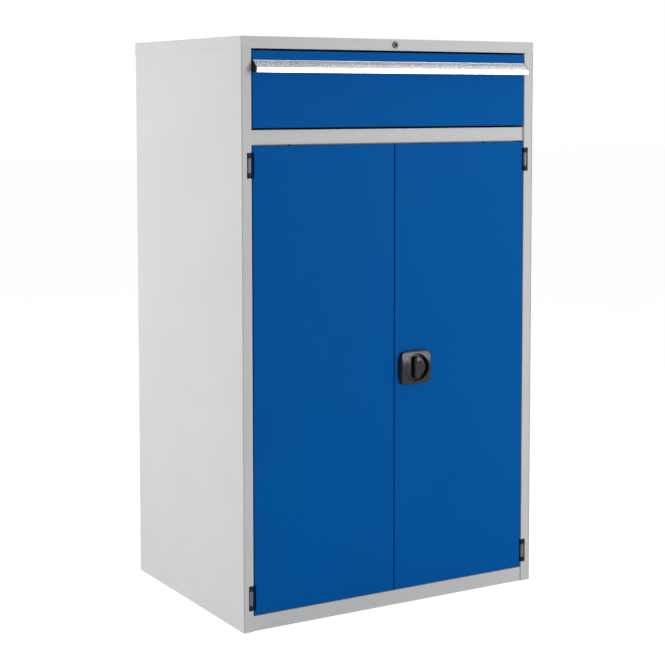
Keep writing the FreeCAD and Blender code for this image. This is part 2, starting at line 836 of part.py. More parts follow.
def make_handle_plate():
    """Moulded plate: bowed sides, a crowned front with a bevelled rim, a round well for the grip."""
    centre = handle_x - plate_shift
    half_x, half_z = plate_width / 2, plate_height / 2
    low, high = handle_height - half_z, handle_height + half_z
    left, right = centre - half_x, centre + half_x
    bow = plate_bulge
    back = door_face
    outline = [
        Part.LineSegment(vector(left + bow, back, high), vector(right - bow, back, high)).toShape(),
        Part.Arc(vector(right - bow, back, high), vector(right, back, handle_height),
                 vector(right - bow, back, low)).toShape(),
        Part.LineSegment(vector(right - bow, back, low), vector(left + bow, back, low)).toShape(),
        Part.Arc(vector(left + bow, back, low), vector(left, back, handle_height),
                 vector(left + bow, back, high)).toShape(),
    ]
    block = extruded(outline, vector(0, -plate_thickness, 0))
    edge_face = door_face - plate_edge
    crown = [
        Part.LineSegment(vector(left, back, low), vector(left, edge_face, low)).toShape(),
        Part.Arc(vector(left, edge_face, low), vector(left, plate_face, handle_height),
                 vector(left, edge_face, high)).toShape(),
        Part.LineSegment(vector(left, edge_face, high), vector(left, back, high)).toShape(),
        Part.LineSegment(vector(left, back, high), vector(left, back, low)).toShape(),
    ]
    plate = block.common(extruded(crown, vector(plate_width, 0, 0)))
    corners = [edge for edge in plate.Edges if straight_along(edge, "y")]
    plate = plate.makeFillet(plate_corner.number, corners)
    front = [edge for edge in plate.Edges if edge.BoundBox.YMax < (back - plate_edge / 2).number]
    plate = plate.makeChamfer(plate_round.number, front)
    well = cylinder_back(rotor_radius, plate_face - plate_thickness, door_face + plate_thickness,
                         handle_x, handle_height)
    solid_piece("handle_plate", plate.cut(well))


def make_turn_handle():
    """Round turning grip: a cup with a finger well, a bar across it and a thumb rest on the right."""
    radius = rotor_radius - rotor_clearance
    back = door_face - rotor_clearance
    floor = back - rotor_floor
    disc = cylinder_back(radius, floor, back, handle_x, handle_height)
    top = plate_face + thumb_drop
    segment = cylinder_back(radius, top, floor, handle_x, handle_height)
    beyond = 2 * rotor_radius
    keep_left = box_between((handle_x - beyond, top, handle_height - beyond),
                            (handle_x - rotor_chord, floor, handle_height + beyond))
    segment = segment.common(keep_left)
    thumb = cylinder_back(thumb_radius, top + thumb_drop, floor, handle_x, handle_height)
    thumb = thumb.common(box_between((handle_x, top - beyond, handle_height - beyond),
                                     (handle_x + beyond, floor, handle_height + beyond)))
    bar_front = plate_face - grip_proud
    bar = box_between((handle_x - grip_width / 2, bar_front, handle_height - grip_length / 2),
                      (handle_x + grip_width / 2, floor, handle_height + grip_length / 2))
    bar = bar.makeFillet(grip_round.number, [edge for edge in bar.Edges if straight_along(edge, "y")])
    rim = [edge for edge in bar.Edges if edge.BoundBox.YMax < bar_front.number + TOUCH]
    bar = bar.makeChamfer(grip_round.number / 2, rim)
    handle = disc.fuse([segment, thumb, bar]).removeSplitter()
    seat = cylinder_back(key_radius + fit_clearance, bar_front - grip_proud, bar_front + key_depth,
                         handle_x, handle_height + key_rise)
    solid_piece("turn_handle", handle.cut(seat))
    plug = cylinder_back(key_radius, bar_front - key_proud, bar_front + key_depth - rotor_clearance,
                         handle_x, handle_height + key_rise)
    slot = box_between((handle_x - key_slot_width / 2, bar_front - grip_proud,
                        handle_height + key_rise - key_slot_length / 2),
                       (handle_x + key_slot_width / 2, bar_front - key_proud + key_slot_depth,
                        handle_height + key_rise + key_slot_length / 2))
    solid_piece("handle_key_plug", plug.cut(slot))


def involute_point(base_radius, radius, turn):
    """The point of an involute at a radius, turned by an angle; in the pinion's own plane."""
    roll = math.sqrt((radius / base_radius) ** 2 - 1)
    angle = roll - math.atan(roll) + turn
    return radius * math.cos(angle), radius * math.sin(angle)


def make_pinion():
    """Lock pinion and its spindle, which runs forward through the case to the turn handle.

    Each flank is an arc through three points of the involute of the rack's flank; the teeth are
    thinned by the backlash and stand at whole pitches, so that a quarter turn ends in mesh.
    """
    module = gear_module.number
    teeth = int(gear_teeth.number)
    pitch_radius = module * teeth / 2
    pressure = math.radians(gear_pressure_angle.number)
    base_radius = pitch_radius * math.cos(pressure)
    tip_radius = pitch_radius + module
    root_radius = pitch_radius - module * gear_dedendum.number
    roll = math.tan(pressure) - pressure
    half_tooth = (math.pi * module / 2 - gear_backlash.number) / (2 * pitch_radius) + roll
    front = rod_front.number
    axis_x, axis_z = handle_x.number, handle_height.number

    def spot(x, z):
        return FreeCAD.Vector(axis_x + x, front, axis_z + z)

    def flank(middle, side):
        found = []
        for radius in (base_radius, (base_radius + tip_radius) / 2, tip_radius):
            x, z = involute_point(base_radius, radius, -half_tooth)
            found.append((x * math.cos(middle) - side * z * math.sin(middle),
                          x * math.sin(middle) + side * z * math.cos(middle)))
        return found

    edges = []
    pitch_angle = 2 * math.pi / teeth
    for tooth in range(teeth):
        middle = tooth * pitch_angle
        rise, fall = flank(middle, 1), flank(middle, -1)
        following = flank(middle + pitch_angle, 1)[0]
        root_a = [value * root_radius / base_radius for value in rise[0]]
        root_b = [value * root_radius / base_radius for value in fall[0]]
        root_c = [value * root_radius / base_radius for value in following]
        valley = middle + pitch_angle / 2
        edges.append(Part.LineSegment(spot(*root_a), spot(*rise[0])).toShape())
        edges.append(Part.Arc(spot(*rise[0]), spot(*rise[1]), spot(*rise[2])).toShape())
        crest = spot(tip_radius * math.cos(middle), tip_radius * math.sin(middle))
        edges.append(Part.Arc(spot(*rise[2]), crest, spot(*fall[2])).toShape())
        edges.append(Part.Arc(spot(*fall[2]), spot(*fall[1]), spot(*fall[0])).toShape())
        edges.append(Part.LineSegment(spot(*fall[0]), spot(*root_b)).toShape())
        trough = spot(root_radius * math.cos(valley), root_radius * math.sin(valley))
        edges.append(Part.Arc(spot(*root_b), trough, spot(*root_c)).toShape())
    gear = extruded(edges, vector(0, rod_thickness, 0))
    spindle = cylinder_back(spindle_radius, door_face - rotor_clearance, rod_rear, handle_x, handle_height)
    solid_piece("lock_pinion", gear.fuse(spindle).removeSplitter())


def make_lock_rod(name, sign, end_level, rack_turn):
    """Flat lock rod with a row of rack teeth beside the pinion.

    sign is the side of the pinion that the rod runs on, and rack_turn is +1 where the rod leaves the
    pinion upwards and -1 where it leaves downwards.
    """
    rod = new_body(name)
    pitch_line = gear_module * gear_teeth / 2
    tip_line = pitch_line - gear_module * rack_addendum
    root_line = pitch_line + gear_module * gear_dedendum
    outer = root_line + rod_back
    pitch = gear_module * math.pi
    first = handle_height + rack_turn * pitch
    tail = first - rack_turn * pitch * (rack_spaces - 1) - rack_turn * pitch / 2
    low, high = (tail, end_level) if rack_turn > 0 else (end_level, tail)
    add_prism(rod, "XZ_Plane", -rod_rear, rod_thickness,
              rectangle((handle_x + sign * tip_line, low), (handle_x + sign * outer, high)))
    slope = math.tan(math.radians(gear_pressure_angle.number))
    half = (pitch / 2 + gear_backlash) / 2
    mouth = half + (pitch_line - tip_line) * slope + rod_play * slope
    narrow = half - (root_line - pitch_line) * slope
    gap = cut_prism(rod, "XZ_Plane", -(rod_rear + rod_play), rod_thickness + 2 * rod_play, [
        (handle_x + sign * (tip_line - rod_play), first - mouth),
        (handle_x + sign * root_line, first - narrow),
        (handle_x + sign * root_line, first + narrow),
        (handle_x + sign * (tip_line - rod_play), first + mouth),
    ])
    row = repeat_along(rod, gap, "V_Axis", pitch, int(rack_spaces.number))
    row.Reversed = rack_turn > 0
    keep(name, rod)
    return outer


def make_rod_lock():
    """The case that carries the pinion, the two rods and the guides near the rods' ends."""
    upper_end = middle_rail_bottom - stop_lip - rod_end_gap
    lower_end = base_height + stop_lip + rod_end_gap
    outer = make_lock_rod("upper_lock_rod", -1, upper_end, 1)
    make_lock_rod("lower_lock_rod", 1, lower_end, -1)
    case = new_body("lock_case")
    half = outer + rod_play + case_wall
    seat = rod_front - rod_play
    corners = [
        (-half, door_face + door_gauge),
        (half, door_face + door_gauge),
        (half, rod_rear),
        (half - case_wall, rod_rear),
        (half - case_wall, seat),
        (-half + case_wall, seat),
        (-half + case_wall, rod_rear),
        (-half, rod_rear),
    ]
    add_prism(case, "XY_Plane", handle_height - case_height / 2, case_height,
              [(handle_x + x, y) for x, y in corners])
    cut_hole(case, "XZ_Plane", -(rod_rear + rod_play), rod_rear - door_face + rod_play,
             (handle_x, handle_height), spindle_radius + fit_clearance)
    keep("lock_case", case)
    inner = gear_module * gear_teeth / 2 - gear_module * rack_addendum
    guides = []
    for end, sign, level in (("upper", -1, upper_end - rod_stop_play - guide_height),
                             ("lower", 1, lower_end + rod_stop_play)):
        guide = new_body(f"{end}_rod_guide")
        add_prism(guide, "XZ_Plane", -(rod_rear + rod_play + guide_wall),
                  rod_rear + rod_play + guide_wall - door_back,
                  rectangle((handle_x + sign * (inner - rod_play - guide_wall), level),
                            (handle_x + sign * (outer + rod_play + guide_wall), level + guide_height)))
        cut_prism(guide, "XZ_Plane", -(rod_rear + rod_play), rod_thickness + 2 * rod_play,
                  rectangle((handle_x + sign * (inner - rod_play), level - guide_height),
                            (handle_x + sign * (outer + rod_play), level + 2 * guide_height)))
        guides.append(guide)
    group("rod_guides", guides)


def make_catch_and_buffers():
    """Magnetic catch and striker for the left door, and rubber buffers on the stop lips."""
    catch = new_body("door_catch")
    left, right = -(catch_offset + catch_width / 2), -(catch_offset - catch_width / 2)
    top = middle_rail_bottom - stop_lip
    corners = [
        (lip_front, top),
        (lip_front, top - catch_height),
        (lip_front + catch_depth, top - catch_height),
        (lip_front + catch_depth, top),
        (lip_back + clip_gauge, top),
        (lip_back + clip_gauge, middle_rail_bottom),
        (lip_back, middle_rail_bottom),
        (lip_back, top),
    ]
    add_prism(catch, "YZ_Plane", left, catch_width, corners)
    keep("door_catch", catch)
    striker = new_body("catch_striker")
    add_prism(striker, "XZ_Plane", -(door_back + striker_gauge), striker_gauge,
              rectangle((left, top - catch_height), (right, top)))
    keep("catch_striker", striker)
    buffers = []
    for end, level in (("upper", middle_rail_bottom - stop_lip / 2), ("lower", base_height + stop_lip / 2)):
        for side, sign in SIDES.items():
            pad = new_body(f"{end}_{side}_buffer")
            add_rod(pad, "XZ_Plane", -lip_front, stop_gap - rotor_clearance,
                    (sign * buffer_offset, level), buffer_radius)
            buffers.append(pad)
    group("door_buffers", buffers)


drawer_bottom_edge = middle_rail_top + drawer_gap
drawer_top_edge = lid_edge - drawer_gap
drawer_front_back = door_face + drawer_front_depth
drawer_rear = drawer_front_back + drawer_length
drawer_outer = opening - runner_width
drawer_side_bottom = drawer_bottom_edge + drawer_side_rise
drawer_side_top = drawer_side_bottom + drawer_side_height


def make_drawer_front():
    """Folded drawer front, a shallower pan of the same make as the doors."""
    front = make_pan("drawer_front", (-door_outer, drawer_bottom_edge), (door_outer, drawer_top_edge),
                     door_face, drawer_front_depth, drawer_gauge, drawer_front_lip)
    keep("drawer_front", front)


def make_drawer_box():
    """Drawer sides with rolled-in top and bottom edges, the back and the bottom sheet."""
    inner = drawer_outer - drawer_gauge
    low, high = drawer_side_bottom, drawer_side_top
    fold = drawer_outer - drawer_side_fold
    for side, sign in SIDES.items():
        wall = new_body(f"drawer_{side}_side")
        corners = [
            (drawer_outer, low),
            (drawer_outer, high),
            (fold, high),
            (fold, high - drawer_gauge),
            (inner, high - drawer_gauge),
            (inner, low + drawer_gauge),
            (fold, low + drawer_gauge),
            (fold, low),
        ]
        add_prism(wall, "XZ_Plane", -drawer_rear, drawer_length, [(sign * x, z) for x, z in corners])
        round_edges(wall, drawer_gauge / 2, lambda edge, box: straight_along(edge, "y")
                    and edge.BoundBox.ZMin > box.ZMax - TOUCH)
        keep(f"drawer_{side}_side", wall)
    floor = new_body("drawer_bottom")
    add_prism(floor, "XY_Plane", low + drawer_gauge, drawer_gauge,
              rectangle((-inner, drawer_front_back), (inner, drawer_rear - drawer_gauge)))
    keep("drawer_bottom", floor)
    back = new_body("drawer_back")
    add_prism(back, "XZ_Plane", -drawer_rear, drawer_gauge,
              rectangle((-inner, low + drawer_gauge), (inner, high - drawer_gauge - drawer_back_drop)))
    add_prism(back, "XZ_Plane", -drawer_rear, drawer_side_fold,
              rectangle((-fold, high - drawer_gauge - drawer_back_drop),
                        (fold, high - drawer_back_drop)))
    keep("drawer_back", back)


def make_drawer_handle():
    """Full-width pull: a sloping label face, a front lip to hook the fingers behind, and end caps."""
    top = drawer_top_edge - handle_top
    nose = door_face - handle_projection
    brow = top - handle_fall
    chin = brow - handle_lip
    foot = top - handle_foot
    wall = handle_wall
    end = door_outer - cap_thickness
    pull = new_body("drawer_handle")
    add_prism(pull, "YZ_Plane", -end, 2 * end, [
        (door_face, top),
        (nose, brow),
        (nose, chin),
        (nose + wall, chin),
        (nose + wall, brow - wall),
        (door_face - wall, top - 2 * wall),
        (door_face - wall, foot),
        (door_face, foot),
    ])
    round_edges(pull, handle_bead, lambda edge, box: straight_along(edge, "x")
                and edge.BoundBox.YMax < box.YMin + TOUCH)
    keep("drawer_handle", pull)
    caps = []
    for side, sign in SIDES.items():
        cap = new_body(f"{side}_handle_cap")
        start = end if sign > 0 else -door_outer
        add_prism(cap, "YZ_Plane", start, cap_thickness, [
            (door_face, top), (nose, brow), (nose, chin), (door_face, foot)])
        caps.append(cap)
    group("handle_end_caps", caps)
    strip = new_body("label_strip")
    slope = handle_fall / handle_projection
    near, far = label_margin, handle_projection - label_margin
    add_prism(strip, "YZ_Plane", -end, 2 * end, [
        (door_face - near, top - slope * near),
        (door_face - far, top - slope * far),
        (door_face - far, top - slope * far + label_gauge),
        (door_face - near, top - slope * near + label_gauge),
    ])
    keep("label_strip", strip)


def make_runner(name, sign, web, edge, gauge_height, front, length):
    """One channel of a telescopic runner.

    web is the X place of its flat, edge is where its two flanges end, and gauge_height is how high
    its flanges stand apart outside.
    """
    channel = new_body(name)
    middle = drawer_side_bottom + runner_rise
    half = gauge_height / 2
    inward = runner_gauge if edge.number > web.number else -runner_gauge
    corners = [
        (web, middle - half),
        (edge, middle - half),
        (edge, middle - half + runner_gauge),
        (web + inward, middle - half + runner_gauge),
        (web + inward, middle + half - runner_gauge),
        (edge, middle + half - runner_gauge),
        (edge, middle + half),
        (web, middle + half),
    ]
    add_prism(channel, "XZ_Plane", -(front + length), length, [(sign * x, z) for x, z in corners])
    keep(name, channel)


def make_runners():
    """Three nested channels on each side: fixed to the carcass, floating, and fixed to the drawer."""
    front = drawer_front_back + runner_front_gap
    step = runner_gauge + runner_play
    middle_web = opening - runner_gauge - runner_web_play
    middle_height = runner_height - 2 * step
    inner_height = middle_height - 2 * step
    flange_gap = runner_gauge + runner_web_play
    length = drawer_length - 2 * runner_front_gap
    for side, sign in SIDES.items():
        make_runner(f"{side}_runner_outer", sign, opening, drawer_outer + flange_gap, runner_height,
                    front, length)
        make_runner(f"{side}_runner_middle", sign, middle_web, drawer_outer + flange_gap, middle_height,
                    front, length)
        make_runner(f"{side}_runner_inner", sign, drawer_outer, middle_web - flange_gap, inner_height,
                    front, length)


def make_drawer_lock():
    """Key lock in the lid's lip: barrel and nut are fixed, the plug turns the cam behind the drawer front."""
    level = height - lock_drop
    lip = -(depth / 2)
    head = lip - lock_head_proud
    barrel_back = lip + lock_length
    barrel = cylinder_back(lock_radius, lip, barrel_back, 0, level)
    bezel = cylinder_back(lock_head_radius, head, lip, 0, level)
    rim = [edge for edge in bezel.Edges if edge.BoundBox.YMax < head.number + TOUCH]
    bezel = bezel.makeChamfer(lock_head_proud.number / 2, rim)
    bore = cylinder_back(lock_plug_radius + fit_clearance, head - lock_length, barrel_back + lock_length,
                         0, level)
    solid_piece("drawer_lock_barrel", barrel.fuse(bezel).removeSplitter().cut(bore))
    cam_front = drawer_front_back + cam_gap
    plug = cylinder_back(lock_plug_radius, head + lock_plug_recess, cam_front, 0, level)
    slot = box_between((-key_slot_width / 2, head - lock_length, level - key_slot_length / 2),
                       (key_slot_width / 2, head + lock_plug_recess + key_slot_depth,
                        level + key_slot_length / 2))
    solid_piece("drawer_lock_plug", plug.cut(slot))
    nut = new_body("drawer_lock_nut")
    corner = lock_nut_radius
    flat = lock_nut_radius * math.cos(math.pi / 6)
    add_prism(nut, "XZ_Plane", -(post_face + lock_nut_thickness), lock_nut_thickness, [
        (corner, level), (corner / 2, level + flat), (-corner / 2, level + flat),
        (-corner, level), (-corner / 2, level - flat), (corner / 2, level - flat)])
    cut_hole(nut, "XZ_Plane", -(post_face + 2 * lock_nut_thickness), 3 * lock_nut_thickness,
             (0, level), lock_radius + fit_clearance)
    keep("drawer_lock_nut", nut)
    cam = new_body("drawer_lock_cam")
    half = cam_width / 2
    add_prism(cam, "XZ_Plane", -(cam_front + cam_gauge), cam_gauge,
              rectangle((-half, level - half), (cam_length, level + half)))
    round_edges(cam, half / 2, lambda edge, box: straight_along(edge, "y"))
    keep("drawer_lock_cam", cam)


def build():
    """Make every piece, in the order in which the cupboard would be put together."""
    make_top_cover()
    for side, sign in SIDES.items():
        make_side_panel(side, sign)
        make_post(side, sign)
    make_back_panel()
    make_floor_panel()
    make_bottom_rail()
    make_middle_rail()
    make_drawer_deck()
    make_uprights_and_shelves()
    make_hinges()
    for side, sign in SIDES.items():
        make_door(side, sign)
        make_stiffener(side, sign)
    make_handle_plate()
    make_turn_handle()
    make_pinion()
    make_rod_lock()
    make_catch_and_buffers()
    make_drawer_front()
    make_drawer_box()
    make_drawer_handle()
    make_runners()
    make_drawer_lock()
    doc.recompute()


def check_and_write():
    """Stop on any failed feature or bad solid, then write each piece to its own file."""
    for item in doc.Objects:
        if "Invalid" in item.State or "Error" in item.State:
            raise RuntimeError(f"{item.Name} failed: {item.State}")
    for name, item in pieces.items():
        if item.Shape.isNull() or not item.Shape.isValid() or not item.Shape.Solids:
            raise RuntimeError(f"{name} has no good solid")
    os.makedirs("parts", exist_ok=True)
    for name, item in pieces.items():
        item.Shape.exportStep(os.path.join("parts", name + ".step"))
    print(len(pieces), "pieces written")


build()
check_and_write()
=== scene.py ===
"""Workshop cupboard in sheet steel: a grey carcass, one wide blue drawer over two blue doors.

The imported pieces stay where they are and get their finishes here. The drawer pull, the turn handle
and the lock case's screws are made in this file, each as a surface over a grid of two parameters.
Lengths are millimetres in the sub-assemblies, and metres in the meshes, the finishes and the stage.
"""

import logging
import math
from dataclasses import dataclass, field
from enum import Enum

import bmesh
import bpy
import numpy as np
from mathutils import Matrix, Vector


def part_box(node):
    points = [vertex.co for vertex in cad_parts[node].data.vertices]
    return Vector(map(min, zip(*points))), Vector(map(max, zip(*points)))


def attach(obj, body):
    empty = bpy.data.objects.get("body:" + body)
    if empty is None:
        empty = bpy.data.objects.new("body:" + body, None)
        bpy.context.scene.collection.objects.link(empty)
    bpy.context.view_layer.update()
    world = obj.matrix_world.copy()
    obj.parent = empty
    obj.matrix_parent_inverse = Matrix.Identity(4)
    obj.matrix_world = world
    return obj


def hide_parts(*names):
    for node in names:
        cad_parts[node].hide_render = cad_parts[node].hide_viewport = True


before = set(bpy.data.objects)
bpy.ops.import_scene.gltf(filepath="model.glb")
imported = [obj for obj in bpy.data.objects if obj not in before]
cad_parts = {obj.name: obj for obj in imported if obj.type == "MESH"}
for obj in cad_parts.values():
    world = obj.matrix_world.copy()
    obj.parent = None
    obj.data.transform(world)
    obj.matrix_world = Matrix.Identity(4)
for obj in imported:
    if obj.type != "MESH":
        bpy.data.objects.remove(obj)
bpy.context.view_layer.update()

log = logging.getLogger("cupboard")

Socket = bpy.types.NodeSocket
Outputs = bpy.types.NodeOutputs
Tree = bpy.types.NodeTree
Material = bpy.types.Material
Pair = tuple[Socket, Socket]
Colour = tuple[float, float, float]
Place = tuple[float, float, float]
Range = tuple[float, float]
Noise = tuple[float, float]
Relief = tuple[float, float]
Point = tuple[float, float]
Corner = tuple[Point, float]

MM = 0.001
WELD_DISTANCE = 1e-6
SHARP_FOLD = math.radians(35.0)
QUARTER = math.pi / 2
UNIT: Range = (0.0, 1.0)
# Most of a noise texture's values lie in this range.
NOISE_SPREAD: Range = (0.3, 0.7)
WHITE = (1.0, 1.0, 1.0, 1.0)
# Painted shade: the dark tone laid on the powder coat's folds.
FOLD_SHADE: Colour = (0.09, 0.09, 0.095)
FRONT: Place = (0.0, -1.0, 0.0)
# A Mix node's sockets for colours, by number, because its other sockets bear the same names.
MIX_FACTOR, MIX_FIRST, MIX_SECOND, MIX_RESULT = 0, 6, 7, 2


class Body(Enum):
    """The bodies that new pieces ride on."""

    DRAWER = "drawer"
    RIGHT_DOOR = "right_door"
    TURN_HANDLE = "turn_handle"


class Slot(Enum):
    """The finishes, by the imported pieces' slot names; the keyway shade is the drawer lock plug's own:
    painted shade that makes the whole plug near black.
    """

    CARCASS_GREY = "carcass_grey"
    FRONT_BLUE = "front_blue"
    INNER_GREY = "inner_grey"
    ZINC_STEEL = "zinc_steel"
    HINGE_STEEL = "hinge_steel"
    HINGE_BLACK = "hinge_black"
    HANDLE_ALUMINIUM = "handle_aluminium"
    CAP_BLACK = "cap_black"
    LABEL_FILM = "label_film"
    HANDLE_BLACK = "handle_black"
    LOCK_ZAMAK = "lock_zamak"
    GUIDE_NYLON = "guide_nylon"
    LOCK_CHROME = "lock_chrome"
    LOCK_DARK = "lock_dark"
    LOCK_KEYWAY = "lock_keyway"
    BUFFER_RUBBER = "buffer_rubber"


# Shapes


@dataclass
class Shell:
    """One closed surface: points in millimetres, quads between them and flat end faces."""

    points: np.ndarray
    quads: np.ndarray
    ends: list[np.ndarray] = field(default_factory=list)

    @classmethod
    def loft(cls, sections: np.ndarray, capped: bool = True) -> "Shell":
        """A skin over closed sections: point (i, j) is point j of section i.

        Args:
            sections: array of sections by points by three coordinates.
            capped: whether the first and last section are closed by flat faces.
        Returns:
            The shell.
        """
        rows, columns = sections.shape[:2]
        row = np.arange(rows - 1)[:, None] * columns
        here = np.arange(columns)[None, :]
        after = (here + 1) % columns
        quads = np.stack([row + here, row + after, row + columns + after, row + columns + here], axis=-1)
        first = np.arange(columns)
        ends = [first[::-1], first + (rows - 1) * columns] if capped else []
        return cls(sections.reshape(-1, 3), quads.reshape(-1, 4), ends)


def unit(vectors: np.ndarray) -> np.ndarray:
    """Each row's vector at a length of one."""
    return vectors / np.linalg.norm(vectors, axis=1, keepdims=True)


def rounded(corners: list[Corner], steps: int = 6) -> np.ndarray:
    """A closed outline with round corners.

    Each corner becomes the arc of a circle that touches both of its sides: the circle's centre lies
    on the corner's bisector, at the radius over the sine of half the corner's angle.

    Args:
        corners: the sharp corners in order, each with its radius.
        steps: points on each arc.
    Returns:
        Array of points by two coordinates.
    """
    spots = np.array([spot for spot, _ in corners], float)
    radius = np.array([[size] for _, size in corners], float)
    back = unit(np.roll(spots, 1, axis=0) - spots)
    ahead = unit(np.roll(spots, -1, axis=0) - spots)
    half = np.arccos(np.clip((back * ahead).sum(axis=1, keepdims=True), -1, 1)) / 2
    centre = spots + unit(back + ahead) * radius / np.sin(half)
    start = spots + back * radius / np.tan(half) - centre
    finish = spots + ahead * radius / np.tan(half) - centre
    from_angle = np.arctan2(start[:, 1], start[:, 0])[:, None]
    to_angle = np.arctan2(finish[:, 1], finish[:, 0])[:, None]
    turn = (to_angle - from_angle + math.pi) % math.tau - math.pi
    angle = from_angle + turn * np.linspace(0, 1, steps)[None, :]
    arc = np.stack([np.cos(angle), np.sin(angle)], axis=-1)
    return (centre[:, None, :] + radius[:, :, None] * arc).reshape(-1, 2)


def inset(outline: np.ndarray, distance: float) -> np.ndarray:
    """An outline moved inwards: each point goes along the mean of its two sides' inward normals.

    Args:
        outline: points by two coordinates, either way round.
        distance: how far each side moves.
    Returns:
        The moved points.
    """
    after = np.roll(outline, -1, axis=0)
    side = unit(after - outline)
    area = (outline[:, 0] * after[:, 1] - outline[:, 1] * after[:, 0]).sum()
    normal = np.sign(area) * np.stack([-side[:, 1], side[:, 0]], axis=-1)
    mean = normal + np.roll(normal, 1, axis=0)
    mean = mean / (mean * mean).sum(axis=1, keepdims=True) * 2
    return outline + mean * distance


def run_along_x(outline: np.ndarray, stations: list[Point], face: float, top: float) -> Shell:
    """A section carried along X: outline points are (out, up), and each station is (x, inset).

    Args:
        outline: the section, out from the face and up from the top line.
        stations: where a section stands and how far it is drawn in there.
        face: Y of the plane that out is measured from, towards -Y.
        top: Z of the line that up is measured from.
    Returns:
        The closed shell.
    """
    drawn = [inset(outline, depth) if depth else outline for _, depth in stations]
    sections = [np.stack([np.full(len(ring), x), face - ring[:, 0], top + ring[:, 1]], axis=-1)
                for (x, _), ring in zip(stations, drawn)]
    return Shell.loft(np.array(sections))


def put(name: str, data: bpy.types.ID) -> bpy.types.Object:
    """Puts a new object into the scene, at the origin.

    Args:
        name: the object's name.
        data: its mesh, lamp or camera.
    Returns:
        The object.
    """
    thing = bpy.data.objects.new(name, data)
    bpy.context.scene.collection.objects.link(thing)
    return thing


def make_piece(name: str, shells: list[Shell], material: Material) -> bpy.types.Object:
    """One object from closed shells, welded, facing outwards and smooth but for its sharp folds.

    Args:
        name: the piece's name.
        shells: its closed surfaces, in millimetres.
        material: its finish.
    Returns:
        The object, linked to the scene at the origin.
    """
    starts = np.cumsum([0] + [len(shell.points) for shell in shells[:-1]])
    points = np.concatenate([shell.points for shell in shells]) * MM
    faces = np.concatenate([shell.quads + start for shell, start in zip(shells, starts)]).tolist()
    faces += [(end + start).tolist() for shell, start in zip(shells, starts) for end in shell.ends]
    mesh = bpy.data.meshes.new(name)
    mesh.from_pydata(points.tolist(), [], faces)
    work = bmesh.new()
    work.from_mesh(mesh)
    bmesh.ops.remove_doubles(work, verts=work.verts, dist=WELD_DISTANCE)
    bmesh.ops.dissolve_degenerate(work, edges=work.edges, dist=WELD_DISTANCE)
    bmesh.ops.recalc_face_normals(work, faces=work.faces)
    work.to_mesh(mesh)
    work.free()
    mesh.shade_smooth()
    mesh.set_sharp_from_angle(angle=SHARP_FOLD)
    mesh.materials.append(material)
    log.info("%s: %d faces", name, len(mesh.polygons))
    return put(name, mesh)


# Shader nodes


class Graph:
    """Adds and links the nodes of one material, node group or world."""

    def __init__(self, tree: Tree) -> None:
        """Keeps the tree that nodes are added to."""
        self.tree = tree

    @classmethod
    def fresh(cls, owner: Material | bpy.types.World) -> "Graph":
        """Gives a new material or world an empty graph.

        Args:
            owner: the material or the world.
        Returns:
            Its graph.
        """
        owner.use_nodes = True
        owner.node_tree.nodes.clear()
        return cls(owner.node_tree)

    def feed(self, socket: Socket, value: object) -> None:
        """Links a socket to an input, or sets the input's own value.

        Args:
            socket: the input.
            value: an output to link, or a plain value.
        """
        if isinstance(value, Socket):
            self.tree.links.new(value, socket)
        else:
            socket.default_value = value

    def add(self, kind: str, inputs: dict | None = None, **settings: object) -> bpy.types.Node:
        """Adds a node.

        Args:
            kind: the node's type.
            inputs: values or sockets for its inputs, by name or number.
            settings: the node's own properties.
        Returns:
            The node.
        """
        node = self.tree.nodes.new(kind)
        for key, value in settings.items():
            setattr(node, key, value)
        for key, value in (inputs or {}).items():
            self.feed(node.inputs[key], value)
        return node

    def math(self, operation: str, *values: object) -> Socket:
        """The result of one sum on two or three values."""
        return self.add("ShaderNodeMath", dict(enumerate(values)), operation=operation).outputs[0]

    def dot(self, first: object, second: object) -> Socket:
        """How far two directions agree, from -1 to 1."""
        node = self.add("ShaderNodeVectorMath", {0: first, 1: second}, operation="DOT_PRODUCT")
        return node.outputs["Value"]

    def blend(self, factor: object, first: object, second: object) -> Socket:
        """A colour between two colours.

        Args:
            factor: 0 for the first and 1 for the second.
            first: a colour or a socket.
            second: a colour or a socket.
        Returns:
            The blended colour.
        """
        colours = [(*value, 1.0) if isinstance(value, tuple) else value for value in (first, second)]
        inputs = {MIX_FACTOR: factor, MIX_FIRST: colours[0], MIX_SECOND: colours[1]}
        return self.add("ShaderNodeMix", inputs, data_type="RGBA").outputs[MIX_RESULT]

    def span(self, value: object, source: Range, target: Range = UNIT) -> Socket:
        """A value carried from one range to another and held within it."""
        ends = {"From Min": source[0], "From Max": source[1], "To Min": target[0], "To Max": target[1]}
        return self.add("ShaderNodeMapRange", {"Value": value, **ends}).outputs[0]

    def place(self, stretch: Place = (1.0, 1.0, 1.0)) -> Socket:
        """The piece's own coordinates, stretched."""
        spot = self.add("ShaderNodeTexCoord").outputs["Object"]
        return self.add("ShaderNodeMapping", {"Vector": spot, "Scale": stretch}).outputs[0]

    def flat_normal(self) -> Socket:
        """The way the face itself looks, before any smoothing."""
        return self.add("ShaderNodeNewGeometry").outputs["True Normal"]

    def noise(self, spot: Socket, scale: object, detail: float = 2.0) -> Socket:
        """A soft random value at each place."""
        inputs = {"Vector": spot, "Scale": scale, "Detail": detail}
        return self.add("ShaderNodeTexNoise", inputs).outputs[0]

    def bump(self, height: object, strength: float, depth: float, normal: object) -> Socket:
        """The normal of a surface raised by a height."""
        inputs = {"Height": height, "Strength": strength, "Distance": depth, "Normal": normal}
        return self.add("ShaderNodeBump", inputs).outputs[0]

    def effect(self, tree: Tree, **values: object) -> Outputs:
        """Places a shared effect.

        Args:
            tree: the effect's node group.
            values: its own values here, by input.
        Returns:
            The effect's outputs.
        """
        node = self.add("ShaderNodeGroup", node_tree=tree)
        for key, value in values.items():
            self.feed(node.inputs[key.capitalize()], value)
        return node.outputs


